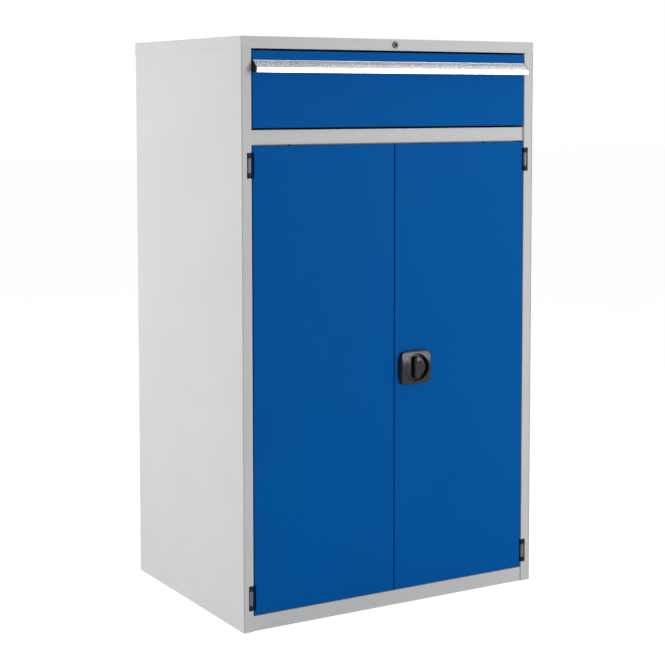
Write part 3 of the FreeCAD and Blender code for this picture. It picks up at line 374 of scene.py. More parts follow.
@dataclass
class Effects:
    """The effects that several finishes share, each a node group built once.

    A noise is given by its scale, to the metre, and its detail.
    """

    wave_share: float = 0.12
    wave_weight: float = 0.6
    mottle: Noise = (5.0, 5.0)
    bevel_samples: int = 6
    fold_range: Range = (0.99, 0.80)
    rub: Noise = (22.0, 6.0)
    rub_range: Range = (0.42, 0.62)
    mark: Noise = (14.0, 8.0)
    mark_stretch: Place = (1.0, 1.0, 2.2)
    mark_range: Range = (0.45, 0.75)
    mark_strength: Range = (0.15, 1.0)
    sheen: Noise = (40.0, 4.0)
    cloud: Noise = (9.0, 4.0)
    rolling_scale: float = 700.0

    def __post_init__(self) -> None:
        """Builds every group."""
        self.peel = self.orange_peel()
        self.edge = self.edge_rub()
        self.scuff = self.floor_scuff()
        self.grain = self.moulded_grain()
        self.flakes = self.plated_flakes()

    def start(self, name: str, **inputs: float) -> tuple[Graph, Outputs]:
        """An empty group.

        Args:
            name: the group's name.
            inputs: its value inputs and their defaults.
        Returns:
            The group's graph and its input sockets.
        """
        tree = bpy.data.node_groups.new(name, "ShaderNodeTree")
        for label, value in inputs.items():
            socket = tree.interface.new_socket(name=label, in_out="INPUT", socket_type="NodeSocketFloat")
            socket.default_value = value
        graph = Graph(tree)
        return graph, graph.add("NodeGroupInput").outputs

    def close(self, graph: Graph, **outputs: Socket) -> Tree:
        """Gives a group its outputs.

        Args:
            graph: the group's graph.
            outputs: what each output passes on, a value or a vector.
        Returns:
            The finished group.
        """
        for label, socket in outputs.items():
            kind = "NodeSocketVector" if socket.type == "VECTOR" else "NodeSocketFloat"
            graph.tree.interface.new_socket(name=label, in_out="OUTPUT", socket_type=kind)
        graph.add("NodeGroupOutput", outputs)
        return graph.tree

    def orange_peel(self) -> Tree:
        """Stoved powder coat: fine dimples over slow waves, and a faint unevenness of tone.

        Returns:
            The group, with Height and Mottle.
        """
        graph, source = self.start("orange_peel", Scale=450.0)
        spot = graph.place()
        dimples = graph.noise(spot, source["Scale"])
        waves = graph.noise(spot, graph.math("MULTIPLY", source["Scale"], self.wave_share))
        height = graph.math("MULTIPLY_ADD", waves, self.wave_weight, dimples)
        mottle = graph.noise(spot, *self.mottle)
        return self.close(graph, Height=height, Mottle=graph.span(mottle, NOISE_SPREAD))

    def edge_rub(self) -> Tree:
        """Folds and cut edges: a rounded normal, where the fold is, and where hands and trolleys rub it.

        Returns:
            The group, with Mask, Fold and Normal.
        """
        graph, source = self.start("edge_rub", Radius=0.0015, Amount=0.5)
        bevel = graph.add("ShaderNodeBevel", {"Radius": source["Radius"]}, samples=self.bevel_samples)
        soft = bevel.outputs[0]
        fold = graph.span(graph.dot(soft, graph.flat_normal()), self.fold_range)
        patches = graph.span(graph.noise(graph.place(), *self.rub), self.rub_range)
        rubbed = graph.math("MULTIPLY", graph.math("MULTIPLY", fold, patches), source["Amount"])
        return self.close(graph, Mask=rubbed, Fold=fold, Normal=soft)

    def floor_scuff(self) -> Tree:
        """Dust and shoe marks that fade out above the floor, by height and streaky noise.

        Returns:
            The group, with Mask.
        """
        graph, source = self.start("floor_scuff", Reach=0.12, Amount=0.3)
        height = graph.add("ShaderNodeSeparateXYZ", {0: graph.place()}).outputs["Z"]
        fade = graph.span(graph.math("DIVIDE", height, source["Reach"]), UNIT, (1.0, 0.0))
        streaks = graph.noise(graph.place(self.mark_stretch), *self.mark)
        marks = graph.math("MULTIPLY", fade, graph.span(streaks, self.mark_range, self.mark_strength))
        return self.close(graph, Mask=graph.math("MULTIPLY", marks, source["Amount"]))

    def moulded_grain(self) -> Tree:
        """Spark-eroded mould texture of plastic: small cells, and a slow change of sheen.

        Returns:
            The group, with Height and Sheen.
        """
        graph, source = self.start("moulded_grain", Scale=1600.0)
        spot = graph.place()
        cells = graph.add("ShaderNodeTexVoronoi", {"Vector": spot, "Scale": source["Scale"]})
        sheen = graph.noise(spot, *self.sheen)
        return self.close(graph, Height=cells.outputs["Distance"], Sheen=graph.span(sheen, NOISE_SPREAD))

    def plated_flakes(self) -> Tree:
        """Plated metal: flat crystals whose tone is the mean of chance and cloud, and fine rolling marks.

        Returns:
            The group, with Tone and Height.
        """
        graph, source = self.start("plated_flakes", Scale=160.0)
        spot = graph.place()
        crystals = graph.add("ShaderNodeTexVoronoi", {"Vector": spot, "Scale": source["Scale"]})
        chance = graph.add("ShaderNodeSeparateColor", {0: crystals.outputs["Color"]}).outputs[0]
        cloud = graph.noise(spot, *self.cloud)
        tone = graph.math("MULTIPLY", graph.math("ADD", chance, cloud), 0.5)
        return self.close(graph, Tone=tone, Height=graph.noise(spot, self.rolling_scale))


# Finishes


def scaled(colour: Colour, share: float) -> Colour:
    """A colour made lighter or darker."""
    return tuple(min(1.0, part * share) for part in colour)


@dataclass(frozen=True)
class Finish:
    """What all finishes share: tone and gloss that wander by a pattern, a fine relief and worn edges.

    The two values of gloss are added to the roughness, those of tones multiply the colour, and those
    of relief are its strength and its depth.
    """

    colour: Colour
    roughness: float = 0.4
    gloss: Range = (-0.06, 0.06)
    specular: float = 0.5
    metallic: float = 0.0
    tones: Range = (0.92, 1.08)
    relief: Relief = (0.1, 0.0001)
    edge_radius: float = 0.0004
    rub: float = 0.0
    rub_tone: float = 1.0

    def pattern(self, graph: Graph, effects: Effects) -> Pair:
        """The finish's own pattern: how tone and gloss wander, from 0 to 1, and the relief's height."""
        raise NotImplementedError

    def tone(self, graph: Graph, wander: Socket, edge: Outputs) -> Socket:
        """The colour before wear, between two shares of itself."""
        return graph.blend(wander, *(scaled(self.colour, share) for share in self.tones))

    def dust(self, graph: Graph, effects: Effects, tone: Socket) -> Socket:
        """What lies on the worn finish: nothing, unless a finish says otherwise."""
        return tone

    def material(self, name: str, effects: Effects) -> Material:
        """Builds the finish: its pattern in tone, gloss and normal, then its worn edges and its dust.

        Args:
            name: the material's name.
            effects: the shared effects.
        Returns:
            The material.
        """
        material = bpy.data.materials.new(name)
        graph = Graph.fresh(material)
        wander, height = self.pattern(graph, effects)
        edge = graph.effect(effects.edge, radius=self.edge_radius, amount=self.rub)
        tone = self.tone(graph, wander, edge)
        worn = graph.blend(edge["Mask"], tone, scaled(self.colour, self.rub_tone))
        gloss = (self.roughness + self.gloss[0], self.roughness + self.gloss[1])
        shader = graph.add("ShaderNodeBsdfPrincipled", {
            "Base Color": self.dust(graph, effects, worn),
            "Roughness": graph.span(wander, UNIT, gloss),
            "Normal": graph.bump(height, *self.relief, edge["Normal"]),
            "Specular IOR Level": self.specular,
            "Metallic": self.metallic,
        })
        graph.add("ShaderNodeOutputMaterial", {"Surface": shader.outputs[0]})
        return material


@dataclass(frozen=True)
class PowderCoat(Finish):
    """Stoved powder coat on steel sheet: dimpled, with painted shade darkening its folds, and dusty near the
    floor.
    """

    roughness: float = 0.5
    gloss: Range = (-0.04, 0.04)
    specular: float = 0.25
    tones: Range = (0.98, 1.02)
    relief: Relief = (0.12, 0.0004)
    edge_radius: float = 0.0012
    rub: float = 0.25
    rub_tone: float = 1.25
    # How strongly painted shade darkens the folds.
    fold_shade: float = 0.0
    scuff: float = 0.12
    scuff_tone: float = 0.72

    def pattern(self, graph: Graph, effects: Effects) -> Pair:
        """The coat's mottle and its dimples."""
        peel = graph.effect(effects.peel)
        return peel["Mottle"], peel["Height"]

    def tone(self, graph: Graph, wander: Socket, edge: Outputs) -> Socket:
        """The mottled colour, with painted shade that darkens the folds."""
        # Painted shade, laid along the fold mask.
        shaded_folds = graph.math("MULTIPLY", edge["Fold"], self.fold_shade)
        return graph.blend(shaded_folds, super().tone(graph, wander, edge), FOLD_SHADE)

    def dust(self, graph: Graph, effects: Effects, tone: Socket) -> Socket:
        """Dust and shoe marks near the floor."""
        scuff = graph.effect(effects.scuff, amount=self.scuff)
        return graph.blend(scuff["Mask"], tone, scaled(self.colour, self.scuff_tone))


@dataclass(frozen=True)
class DrawnMetal(Finish):
    """Bare or anodised metal with fine lines, drawn out along X."""

    roughness: float = 0.3
    gloss: Range = (-0.06, 0.08)
    metallic: float = 1.0
    tones: Range = (0.94, 1.04)
    relief: Relief = (0.15, 0.0001)
    stretch: Place = (0.01, 1.0, 1.0)
    lines: Noise = (900.0, 3.0)

    def pattern(self, graph: Graph, effects: Effects) -> Pair:
        """The lines: noise stretched along X."""
        drawn = graph.noise(graph.place(self.stretch), *self.lines)
        return graph.span(drawn, NOISE_SPREAD), drawn


@dataclass(frozen=True)
class PlatedMetal(Finish):
    """Zinc, chrome or burnished plate: crystals in its tone, bright folds and fine rolling marks."""

    roughness: float = 0.35
    gloss: Range = (-0.05, 0.1)
    metallic: float = 1.0
    tones: Range = (0.88, 1.12)
    relief: Relief = (0.08, 0.0001)
    rub: float = 0.6
    rub_tone: float = 1.3
    scale: float = 160.0
    face: Colour | None = None
    face_range: Range = (0.96, 0.99)

    def pattern(self, graph: Graph, effects: Effects) -> Pair:
        """The crystals' tone and the rolling marks."""
        flakes = graph.effect(effects.flakes, scale=self.scale)
        return flakes["Tone"], flakes["Height"]

    def tone(self, graph: Graph, wander: Socket, edge: Outputs) -> Socket:
        """The crystals' colour, and a colour of its own where the face looks straight ahead, towards -Y.

        Args:
            graph: the material's graph.
            wander: the crystals' tone.
            edge: the edge effect's outputs; not used.
        Returns:
            The colour before wear.
        """
        plate = super().tone(graph, wander, edge)
        if self.face is None:
            return plate
        ahead = graph.dot(graph.flat_normal(), FRONT)
        return graph.blend(graph.span(ahead, self.face_range), plate, self.face)


@dataclass(frozen=True)
class MouldedPlastic(Finish):
    """Moulded plastic or rubber with a spark-eroded grain, its edges polished by use."""

    rub: float = 0.5
    rub_tone: float = 1.5

    def pattern(self, graph: Graph, effects: Effects) -> Pair:
        """The sheen of handled patches and the grain."""
        grain = graph.effect(effects.grain)
        return grain["Sheen"], grain["Height"]


@dataclass(frozen=True)
class LabelFilm(Finish):
    """Clear film over a pale speckled card, for the drawer's label channel."""

    colour: Colour = (0.86, 0.86, 0.88)
    roughness: float = 0.16
    gloss: Range = (0.0, 0.1)
    specular: float = 0.4
    relief: Relief = (0.1, 0.0003)
    edge_radius: float = 0.0003
    speck: Colour = (0.48, 0.48, 0.50)
    speck_scale: float = 260.0
    speck_range: Range = (0.44, 0.60)
    cloud_share: float = 0.12
    cloud_weight: float = 0.15

    def cloud(self, graph: Graph) -> Socket:
        """Slow noise, for the film's waves and for where specks gather."""
        return graph.noise(graph.place(), self.speck_scale * self.cloud_share)

    def pattern(self, graph: Graph, effects: Effects) -> Pair:
        """The slow waves of the film."""
        waves = self.cloud(graph)
        return graph.span(waves, NOISE_SPREAD), waves

    def tone(self, graph: Graph, wander: Socket, edge: Outputs) -> Socket:
        """The card and its specks, which come from two sizes of noise.

        Args:
            graph: the material's graph.
            wander: the film's waves, which leave the card as it is.
            edge: the edge effect's outputs; not used.
        Returns:
            The colour before wear.
        """
        fine = graph.noise(graph.place(), self.speck_scale)
        share = graph.math("MULTIPLY", self.cloud(graph), self.cloud_weight)
        mixed = graph.math("MULTIPLY_ADD", fine, 1 - self.cloud_weight, share)
        return graph.blend(graph.span(mixed, self.speck_range, (1.0, 0.0)), self.colour, self.speck)


FINISHES: dict[Slot, Finish] = {
    # The carcass's folds get painted shade.
    Slot.CARCASS_GREY: PowderCoat((0.66, 0.66, 0.65), fold_shade=0.3),
    Slot.FRONT_BLUE: PowderCoat((0.0003, 0.108, 0.402), roughness=0.55, specular=0.03, rub=0.35,
                                rub_tone=1.5, scuff=0.15),
    Slot.INNER_GREY: PowderCoat((0.60, 0.60, 0.59), scuff=0.0),
    Slot.ZINC_STEEL: PlatedMetal((0.62, 0.63, 0.64)),
    Slot.HINGE_STEEL: PlatedMetal((0.15, 0.15, 0.154), roughness=0.45, tones=(0.8, 1.2)),
    Slot.HINGE_BLACK: PlatedMetal((0.025, 0.025, 0.026), roughness=0.45, tones=(0.75, 1.25)),
    Slot.HANDLE_ALUMINIUM: DrawnMetal((0.90, 0.90, 0.91)),
    # The end caps are real pieces; their near black is painted shade for the pull's dark open end.
    Slot.CAP_BLACK: MouldedPlastic((0.012, 0.012, 0.014), roughness=0.5, specular=0.2),
    Slot.LABEL_FILM: LabelFilm(),
    Slot.HANDLE_BLACK: MouldedPlastic((0.010, 0.010, 0.011), roughness=0.30, specular=0.36),
    Slot.LOCK_ZAMAK: PlatedMetal((0.42, 0.42, 0.43), roughness=0.5, scale=420.0),
    Slot.GUIDE_NYLON: MouldedPlastic((0.03, 0.03, 0.031), roughness=0.5),
    Slot.LOCK_CHROME: PlatedMetal((0.16, 0.16, 0.165), roughness=0.42, tones=(0.97, 1.03), scale=500.0),
    Slot.LOCK_DARK: PlatedMetal((0.012, 0.012, 0.013), roughness=0.4, tones=(0.94, 1.06), scale=500.0,
                                face=(0.08, 0.08, 0.083)),
    # Painted shade: the whole drawer lock plug is near black, for the shade in its keyway.
    Slot.LOCK_KEYWAY: PlatedMetal((0.02, 0.02, 0.021), roughness=0.42, tones=(0.97, 1.03), scale=500.0),
    Slot.BUFFER_RUBBER: MouldedPlastic((0.02, 0.02, 0.02), roughness=0.7, specular=0.3, rub_tone=1.1),
}

# Imported pieces that get another finish than the one their slot names; the drawer lock plug's is painted
# shade for its keyway.
NODE_FINISHES = {"drawer_lock_plug": Slot.LOCK_KEYWAY}


class Palette:
    """Makes each finish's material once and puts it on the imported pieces."""

    def __init__(self) -> None:
        """Builds the shared effects and one material for each finish."""
        effects = Effects()
        self.materials = {slot: finish.material("finish_" + slot.value, effects)
                          for slot, finish in FINISHES.items()}

    def dress(self) -> None:
        """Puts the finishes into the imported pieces' own slots."""
        for name, node in sorted(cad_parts.items()):
            for place in node.material_slots:
                slot = NODE_FINISHES.get(name, Slot(place.material.name.split(".")[0]))
                place.material = self.materials[slot]
                log.info("%s: %s", name, slot.value)


# Sub-assemblies


def node_box(node: str) -> tuple[np.ndarray, np.ndarray]:
    """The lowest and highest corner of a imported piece, in millimetres."""
    low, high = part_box(node)
    return np.array(low) / MM, np.array(high) / MM


@dataclass
class Assembly:
    """A sub-assembly that is made here and dressed from the palette."""

    palette: Palette

    def add(self, name: str, shells: list[Shell], body: Body, slot: Slot, *nodes: str) -> None:
        """Makes and dresses a piece.

        Args:
            name: the piece's name.
            shells: its closed surfaces.
            body: the body that it rides on.
            slot: its finish.
            nodes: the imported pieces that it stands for.
        """
        piece = make_piece(name, shells, self.palette.materials[slot])
        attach(piece, body.value)
        if nodes:
            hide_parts(*nodes)


@dataclass
class DrawerPull(Assembly):
    """The drawer's full-width pull: an extrusion with a sloping label face, its card and its caps."""

    top_drop: float = 2.0
    fall: float = 20.5
    lip: float = 10.0
    wall: float = 2.2
    bead_start: float = 0.5
    bead_width: float = 1.0
    bead_height: float = 1.6
    hook: float = 0.6
    hook_height: float = 1.0
    brow_room: float = 1.2
    root_round: float = 0.1
    bead_round: float = 0.6
    hook_round: float = 0.25
    groove_round: float = 0.15
    brow_round: float = 1.8
    lip_round: float = 1.0
    crook_round: float = 1.5
    foot_round: float = 0.5
    back_round: float = 0.3
    card_play: float = 0.3
    card_lift: float = 0.06
    card_gauge: float = 0.8
    card_round: float = 0.1
    card_steps: int = 3
    cap_gauge: float = 0.9
    cap_round: float = 0.5
    cap_bends: int = 5
    cap_corners: tuple[float, ...] = (0.4, 1.0, 3.0, 2.0, 0.8)

    def __post_init__(self) -> None:
        """Reads the pull's place and works out its slope."""
        low, high = node_box("drawer_handle")
        self.face = high[1]
        self.top = high[2] - self.top_drop
        self.projection = high[1] - low[1]
        self.height = self.top - low[2]
        self.cap_end = node_box("handle_end_caps")[1][0]
        self.end = self.cap_end - self.cap_gauge
        self.slope = math.hypot(self.projection, self.fall)
        self.along = (self.projection / self.slope, -self.fall / self.slope)
        self.brow = self.slope - self.brow_room

    def on_slope(self, run: float, rise: float) -> Point:
        """A point on the label face: run down the slope and rise square to it, as (out, up)."""
        along = self.along
        return run * along[0] - rise * along[1], run * along[1] + rise * along[0]

    def beside_slope(self, rise: float, out: float) -> Point:
        """The point at a distance out on the line that runs beside the label face, rise away from it."""
        start = self.on_slope(0.0, rise)
        return out, start[1] - self.fall / self.projection * (out - start[0])

    def bead(self, outer: float, way: int) -> list[Corner]:
        """A hooked bead on the label face, from its outer root over its hook to its inner root.

        Args:
            outer: where its outer side stands, down the slope.
            way: 1 where its hook points down the slope, -1 where it points up.
        Returns:
            Its six corners with their radii.
        """
        inner = outer + way * self.bead_width
        tip = inner + way * self.hook
        return [
            (self.on_slope(outer, 0.0), self.root_round),
            (self.on_slope(outer, self.bead_height), self.bead_round),
            (self.on_slope(tip, self.bead_height), self.hook_round),
            (self.on_slope(tip, self.hook_height), self.hook_round),
            (self.on_slope(inner, self.hook_height), self.groove_round),
            (self.on_slope(inner, 0.0), self.groove_round),
        ]

    def section(self) -> np.ndarray:
        """The extrusion's outline: two hooked beads hold the card, and the lip curls down in front.

        Returns:
            Points by (out, up).
        """
        nose = self.projection - self.wall
        lip_foot = -self.fall - self.lip
        corners = [
            ((0.0, 0.0), self.groove_round),
            *self.bead(self.bead_start, 1),
            *reversed(self.bead(self.brow, -1)),
            ((self.projection, -self.fall), self.brow_round),
            ((self.projection, lip_foot), self.lip_round),
            ((nose, lip_foot), self.lip_round),
            (self.beside_slope(-self.wall, nose), self.crook_round),
            (self.beside_slope(-self.wall, self.wall), self.crook_round),
            ((self.wall, -self.height), self.foot_round),
            ((0.0, -self.height), self.back_round),
        ]
        return rounded(corners)

    def card(self) -> np.ndarray:
        """The card's thin outline between the beads, under their hooks.

        Returns:
            Points by (out, up).
        """
        near = self.bead_start + self.bead_width + self.card_play
        far = self.brow - self.bead_width - self.card_play
        top = self.card_lift + self.card_gauge
        spots = [(near, self.card_lift), (near, top), (far, top), (far, self.card_lift)]
        return rounded([(self.on_slope(*spot), self.card_round) for spot in spots], self.card_steps)

    def cap(self) -> np.ndarray:
        """The end cap's outline: it covers the section, its beads and the finger gap.

        Returns:
            Points by (out, up).
        """
        start = self.on_slope(0.0, self.bead_height)
        spots = [(0.0, start[1]), start, self.beside_slope(self.bead_height, self.projection),
                 (self.projection, -self.fall - self.lip), (0.0, -self.height)]
        return rounded(list(zip(spots, self.cap_corners)))

    def caps(self) -> list[Shell]:
        """The two caps: the outline carried outwards, drawn in along a quarter circle at its edge.

        Returns:
            The left and the right cap.
        """
        bend = np.linspace(0, QUARTER, self.cap_bends)
        edge = self.cap_end - self.cap_round + self.cap_round * np.sin(bend)
        drawn = self.cap_round * (1 - np.cos(bend))
        stations = [(self.end, 0.0), *zip(edge, drawn)]
        return [run_along_x(self.cap(), [(side * x, depth) for x, depth in stations], self.face, self.top)
                for side in (-1, 1)]

    def build(self) -> None:
        """Makes the extrusion, its card and its two caps; they ride on the drawer."""
        ends = [(-self.end, 0.0), (self.end, 0.0)]
        pull = run_along_x(self.section(), ends, self.face, self.top)
        card = run_along_x(self.card(), ends, self.face, self.top)
        self.add("drawer_pull", [pull], Body.DRAWER, Slot.HANDLE_ALUMINIUM, "drawer_handle")
        self.add("label_card", [card], Body.DRAWER, Slot.LABEL_FILM, "label_strip")
        # The caps' near black is painted shade for the dark open end of the pull.
        self.add("pull_caps", self.caps(), Body.DRAWER, Slot.CAP_BLACK, "handle_end_caps")


@dataclass
class TurnHandle(Assembly):
    """The right door's turn handle: a crowned plate with a round well, and the grip that turns in it."""

    edge_thickness: float = 7.5
    edge_round: float = 2.5
    well_radius: float = 36.5
    well_chamfer: float = 0.6
    front_half: float = 46.0
    front_middle: float = -1.5
    front_inset: float = 0.8
    front_power: float = 9.0
    base_power: float = 4.0
    halvings: int = 40
    columns: int = 144
    front_rings: int = 12
    edge_rings: int = 7
    side_rings: int = 7
    grip_radius: float = 36.2
    floor: float = 3.3
    back: float = 0.3
    disc_front_round: float = 0.6
    disc_back_round: float = 0.2
    axis_round: float = 1e-3
    disc_steps: int = 4
    disc_columns: int = 96
    flush_drop: float = 0.4
    chord: float = 20.0
    segment_power: float = 24.0
    segment_stations: int = 33
    arch_points: int = 33
    tip_share: float = 0.9999
    bar_width: float = 20.0
    bar_length: float = 60.0
    bar_front: float = 19.0
    bar_power: float = 4.0
    bar_stations: int = 41
    bar_end_fall: float = 1.5
    bar_fall_power: float = 3.0
    bar_end_power: float = 7.0
    bar_end_root: float = 2.6
    thumb_radius: float = 28.0
    thumb_top: float = 11.5
    thumb_round: float = 2.0
    thumb_dish: float = 1.2
    thumb_fall: float = 4.0
    dish_points: int = 12
    thumb_bends: int = 6
    thumb_stations: int = 49

    def __post_init__(self) -> None:
        """Reads the plate's and the grip's places."""
        low, high = node_box("handle_plate")
        grip_low, grip_high = node_box("turn_handle")
        self.face = high[1]
        self.thickness = high[1] - low[1]
        self.half_width, _, self.half_height = (high - low) / 2
        self.x, _, self.z = (grip_low + grip_high) / 2
        self.shift = self.x - (low[0] + high[0]) / 2

    def front(self, z: np.ndarray) -> np.ndarray:
        """How far the plate's front stands out: a parabola over the height, highest in the middle."""
        return self.thickness - (self.thickness - self.edge_thickness) * (z / self.half_height) ** 2

    def about_axis(self, radius: np.ndarray, angle: np.ndarray, out: np.ndarray) -> np.ndarray:
        """Points about the turning axis, at the radius times the angle's cosine and sine.

        Args:
            radius: distances from the axis.
            angle: directions from the axis.
            out: distances from the door's face, towards -Y.
        Returns:
            The points, over the grid that the three arrays span.
        """
        across, up = radius * np.cos(angle), radius * np.sin(angle)
        return np.stack(np.broadcast_arrays(self.x + across, self.face - out, self.z + up), axis=-1)

    def reach(self, angle: np.ndarray, middle: float, half: Point, power: float) -> np.ndarray:
        """Distance from the turning axis to an outline |x / a| ** n + |z / b| ** n = 1.

        The distance in each direction is found by halving an interval again and again.

        Args:
            angle: directions from the axis.
            middle: where the outline's own middle stands, across from the axis.
            half: a and b, half the outline's width and height.
            power: n, the squareness of the outline.
        Returns:
            One distance for each direction.
        """
        low = np.zeros_like(angle)
        high = np.full_like(angle, 2 * self.half_width)
        for _ in range(self.halvings):
            trial = (low + high) / 2
            x = (trial * np.cos(angle) - middle) / half[0]
            z = trial * np.sin(angle) / half[1]
            inside = np.abs(x) ** power + np.abs(z) ** power < 1
            low, high = np.where(inside, trial, low), np.where(inside, high, trial)
        return low

    def plate(self) -> Shell:
        """The plate as rings about the axis.

        The rings go up the well, over the crowned front, round its edge along a quarter circle and down
        the bowed side, which widens to the outline on the door with the sine of its way down.

        Returns:
            The closed shell.
        """
        angle = np.linspace(0, math.tau, self.columns, endpoint=False)
        rise = np.sin(angle)
        rim_half = (self.front_half, self.half_height - self.front_inset)
        rim = self.reach(angle, self.front_middle, rim_half, self.front_power)
        base = self.reach(angle, -self.shift, (self.half_width, self.half_height), self.base_power)
        base = np.maximum(rim, base)
        well = np.full((1, self.columns), self.well_radius)
        door = np.zeros((1, self.columns))
        lip = well + self.well_chamfer
        shoulder = rim - self.edge_round
        front = lip + np.linspace(0, 1, self.front_rings)[:, None] * (shoulder - lip)
        bend = np.linspace(0, QUARTER, self.edge_rings)[1:, None]
        edge = shoulder + self.edge_round * np.sin(bend)
        edge_out = self.front(edge * rise) - self.edge_round * (1 - np.cos(bend))
        down = np.linspace(0, 1, self.side_rings)[1:, None]
        side = rim + (base - rim) * np.sin(down * QUARTER)
        radius = np.concatenate([well, well, front, edge, side, well])
        out = np.concatenate([door, self.front(well * rise) - self.well_chamfer, self.front(front * rise),
                              edge_out, edge_out[-1] * (1 - down), door])
        return Shell.loft(self.about_axis(radius, angle, out), capped=False)

    def along_height(self, stations: int) -> np.ndarray:
        """Places from just over -1 to just under 1, closer together near the ends."""
        return np.sin(np.linspace(-QUARTER, QUARTER, stations)) * self.tip_share

    def arch(self, half: np.ndarray, middle: np.ndarray, top: np.ndarray, z: np.ndarray,
             power: float) -> Shell:
        """Sections across the grip, one for each height: |x / a| ** n + |out / b| ** n = 1 over the floor.

        Args:
            half: a, half of each section's width.
            middle: where each section's middle stands, across from the axis.
            top: how far out each section reaches; b is this less the floor.
            z: each section's height from the axis.
            power: n, the squareness of the sections.
        Returns:
            The closed shell.
        """
        bend = np.linspace(0, math.pi, self.arch_points)[None, :]
        across = np.sign(np.cos(bend)) * np.abs(np.cos(bend)) ** (2 / power)
        rise = np.abs(np.sin(bend)) ** (2 / power)
        x = self.x + middle[:, None] + half[:, None] * across
        out = self.floor + (top[:, None] - self.floor) * rise
        level = self.z + z[:, None] + 0 * across
        return Shell.loft(np.stack([x, self.face - out, level], axis=-1))

    def bar(self) -> Shell:
        """The grip's bar: an arched section along the height, drawn in and lower at its two ends.

        Returns:
            The closed shell.
        """
        share = self.along_height(self.bar_stations)
        half = self.bar_width / 2 * (1 - np.abs(share) ** self.bar_end_power) ** (1 / self.bar_end_root)
        top = self.bar_front - self.bar_end_fall * np.abs(share) ** self.bar_fall_power
        return self.arch(half, 0 * share, top, share * self.bar_length / 2, self.bar_power)

    def segment(self) -> Shell:
        """The grip's left segment: between the chord and the circle, flush with the plate's crown.

        Returns:
            The closed shell.
        """
        z = self.along_height(self.segment_stations) * math.sqrt(self.grip_radius ** 2 - self.chord ** 2)
        left = -np.sqrt(self.grip_radius ** 2 - z ** 2)
        half = (-self.chord - left) / 2
        return self.arch(half, left + half, self.front(z) - self.flush_drop, z, self.segment_power)

    def thumb_rest(self) -> Shell:
        """The grip's right half: a dished profile turned through half a circle.

        The dish follows a sine. What stands above the floor is lowered by the square of its height
        from the axis, so that the rest is crowned.

        Returns:
            The closed shell.
        """
        inner = self.thumb_radius - self.thumb_round
        share = np.linspace(0, 1, self.dish_points)
        dish = np.stack([share * inner, self.thumb_top - self.thumb_dish * np.sin(share * math.pi)], axis=-1)
        bend = np.linspace(0, QUARTER, self.thumb_bends)[1:]
        edge = np.stack([inner + self.thumb_round * np.sin(bend),
                         self.thumb_top - self.thumb_round * (1 - np.cos(bend))], axis=-1)
        foot = np.array([[self.thumb_radius, self.floor], [0.0, self.floor]])
        profile = np.concatenate([dish, edge, foot])
        angle = np.linspace(-QUARTER, QUARTER, self.thumb_stations)[:, None]
        radius, out = profile[None, :, 0], profile[None, :, 1]
        raised = (out - self.floor) / (self.thumb_top - self.floor)
        level = radius * np.sin(angle) / self.thumb_radius
        return Shell.loft(self.about_axis(radius, angle, out - raised * self.thumb_fall * level ** 2))

    def disc(self) -> Shell:
        """The grip's floor: a turned disc with rounded edges.

        Returns:
            The closed shell.
        """
        corners = [
            ((0.0, self.back), self.axis_round),
            ((self.grip_radius, self.back), self.disc_back_round),
            ((self.grip_radius, self.floor), self.disc_front_round),
            ((0.0, self.floor), self.axis_round),
        ]
        profile = rounded(corners, self.disc_steps)
        angle = np.linspace(0, math.tau, self.disc_columns, endpoint=False)
        return Shell.loft(self.about_axis(profile[:, :1], angle, profile[:, 1:]), capped=False)

    def build(self) -> None:
        """Makes the plate, which rides on the door, and the grip, which rides on its own joint."""
        grip = [self.disc(), self.segment(), self.bar(), self.thumb_rest()]
        self.add("turn_plate", [self.plate()], Body.RIGHT_DOOR, Slot.HANDLE_BLACK, "handle_plate")
        self.add("turn_grip", grip, Body.TURN_HANDLE, Slot.HANDLE_BLACK, "turn_handle")


@dataclass
class LockScrews(Assembly):
    """Pan-head screws with a cross recess, on the rear of the lock case."""

    radius: float = 2.6
    height: float = 1.7
    wall_share: float = 0.35
    ring_shares: tuple[float, ...] = (1.0, 1.0, 0.92, 0.75, 0.6, 0.5, 0.3, 0.0)
    dome_power: float = 4.0
    columns: int = 24
    recess_depth: float = 1.0
    recess_reach: float = 1.5
    recess_half: float = 0.45
    edge: float = 3.0
    level: float = 6.0

    def head(self, x: float, seat: float, z: float) -> Shell:
        """One head: a dome over a polar grid, less a cross where either coordinate is small.

        The dome rises with the square root of one less a power of the radius's share, above a low wall.

        Args:
            x: place across.
            seat: Y of the face it sits on; it stands out towards +Y.
            z: place in height.
        Returns:
            The closed head.
        """
        angle = np.linspace(0, math.tau, self.columns, endpoint=False)[None, :]
        share = np.array(self.ring_shares)[:, None]
        radius = share * self.radius
        rise = self.height * np.sqrt(1 - share ** self.dome_power) + 0 * angle
        rise[0] = 0.0
        rise[1] = self.height * self.wall_share
        across, up = radius * np.cos(angle), radius * np.sin(angle)
        narrow = np.minimum(np.abs(across), np.abs(up)) < self.recess_half
        out = rise - self.recess_depth * (narrow & (radius < self.recess_reach))
        shell = Shell.loft(np.stack([x + across, seat + out, z + up], axis=-1), capped=False)
        shell.ends.append(np.arange(self.columns))
        return shell

    def build(self) -> None:
        """Makes the case's four screws, which ride on the right door."""
        low, high = node_box("lock_case")
        columns = (low[0] + self.edge, high[0] - self.edge)
        rows = (low[2] + self.level, high[2] - self.level)
        heads = [self.head(x, high[1], z) for x in columns for z in rows]
        self.add("lock_case_screws", heads, Body.RIGHT_DOOR, Slot.ZINC_STEEL)


# Stage


@dataclass(frozen=True)
class StudioLamp:
    """One soft area lamp: where it stands, what it looks at, its size and its power."""

    name: str
    place: Place
    aim: Place
    size: float
    power: float

    def build(self) -> None:
        """Adds the lamp, turned so that its face looks at its aim."""
        lamp = bpy.data.lights.new(self.name, "AREA")
        lamp.shape = "SQUARE"
        lamp.size = self.size
        lamp.energy = self.power
        holder = put(self.name, lamp)
        holder.location = self.place
        sight = Vector(self.aim) - Vector(self.place)
        holder.rotation_euler = sight.to_track_quat("-Z", "Y").to_euler()


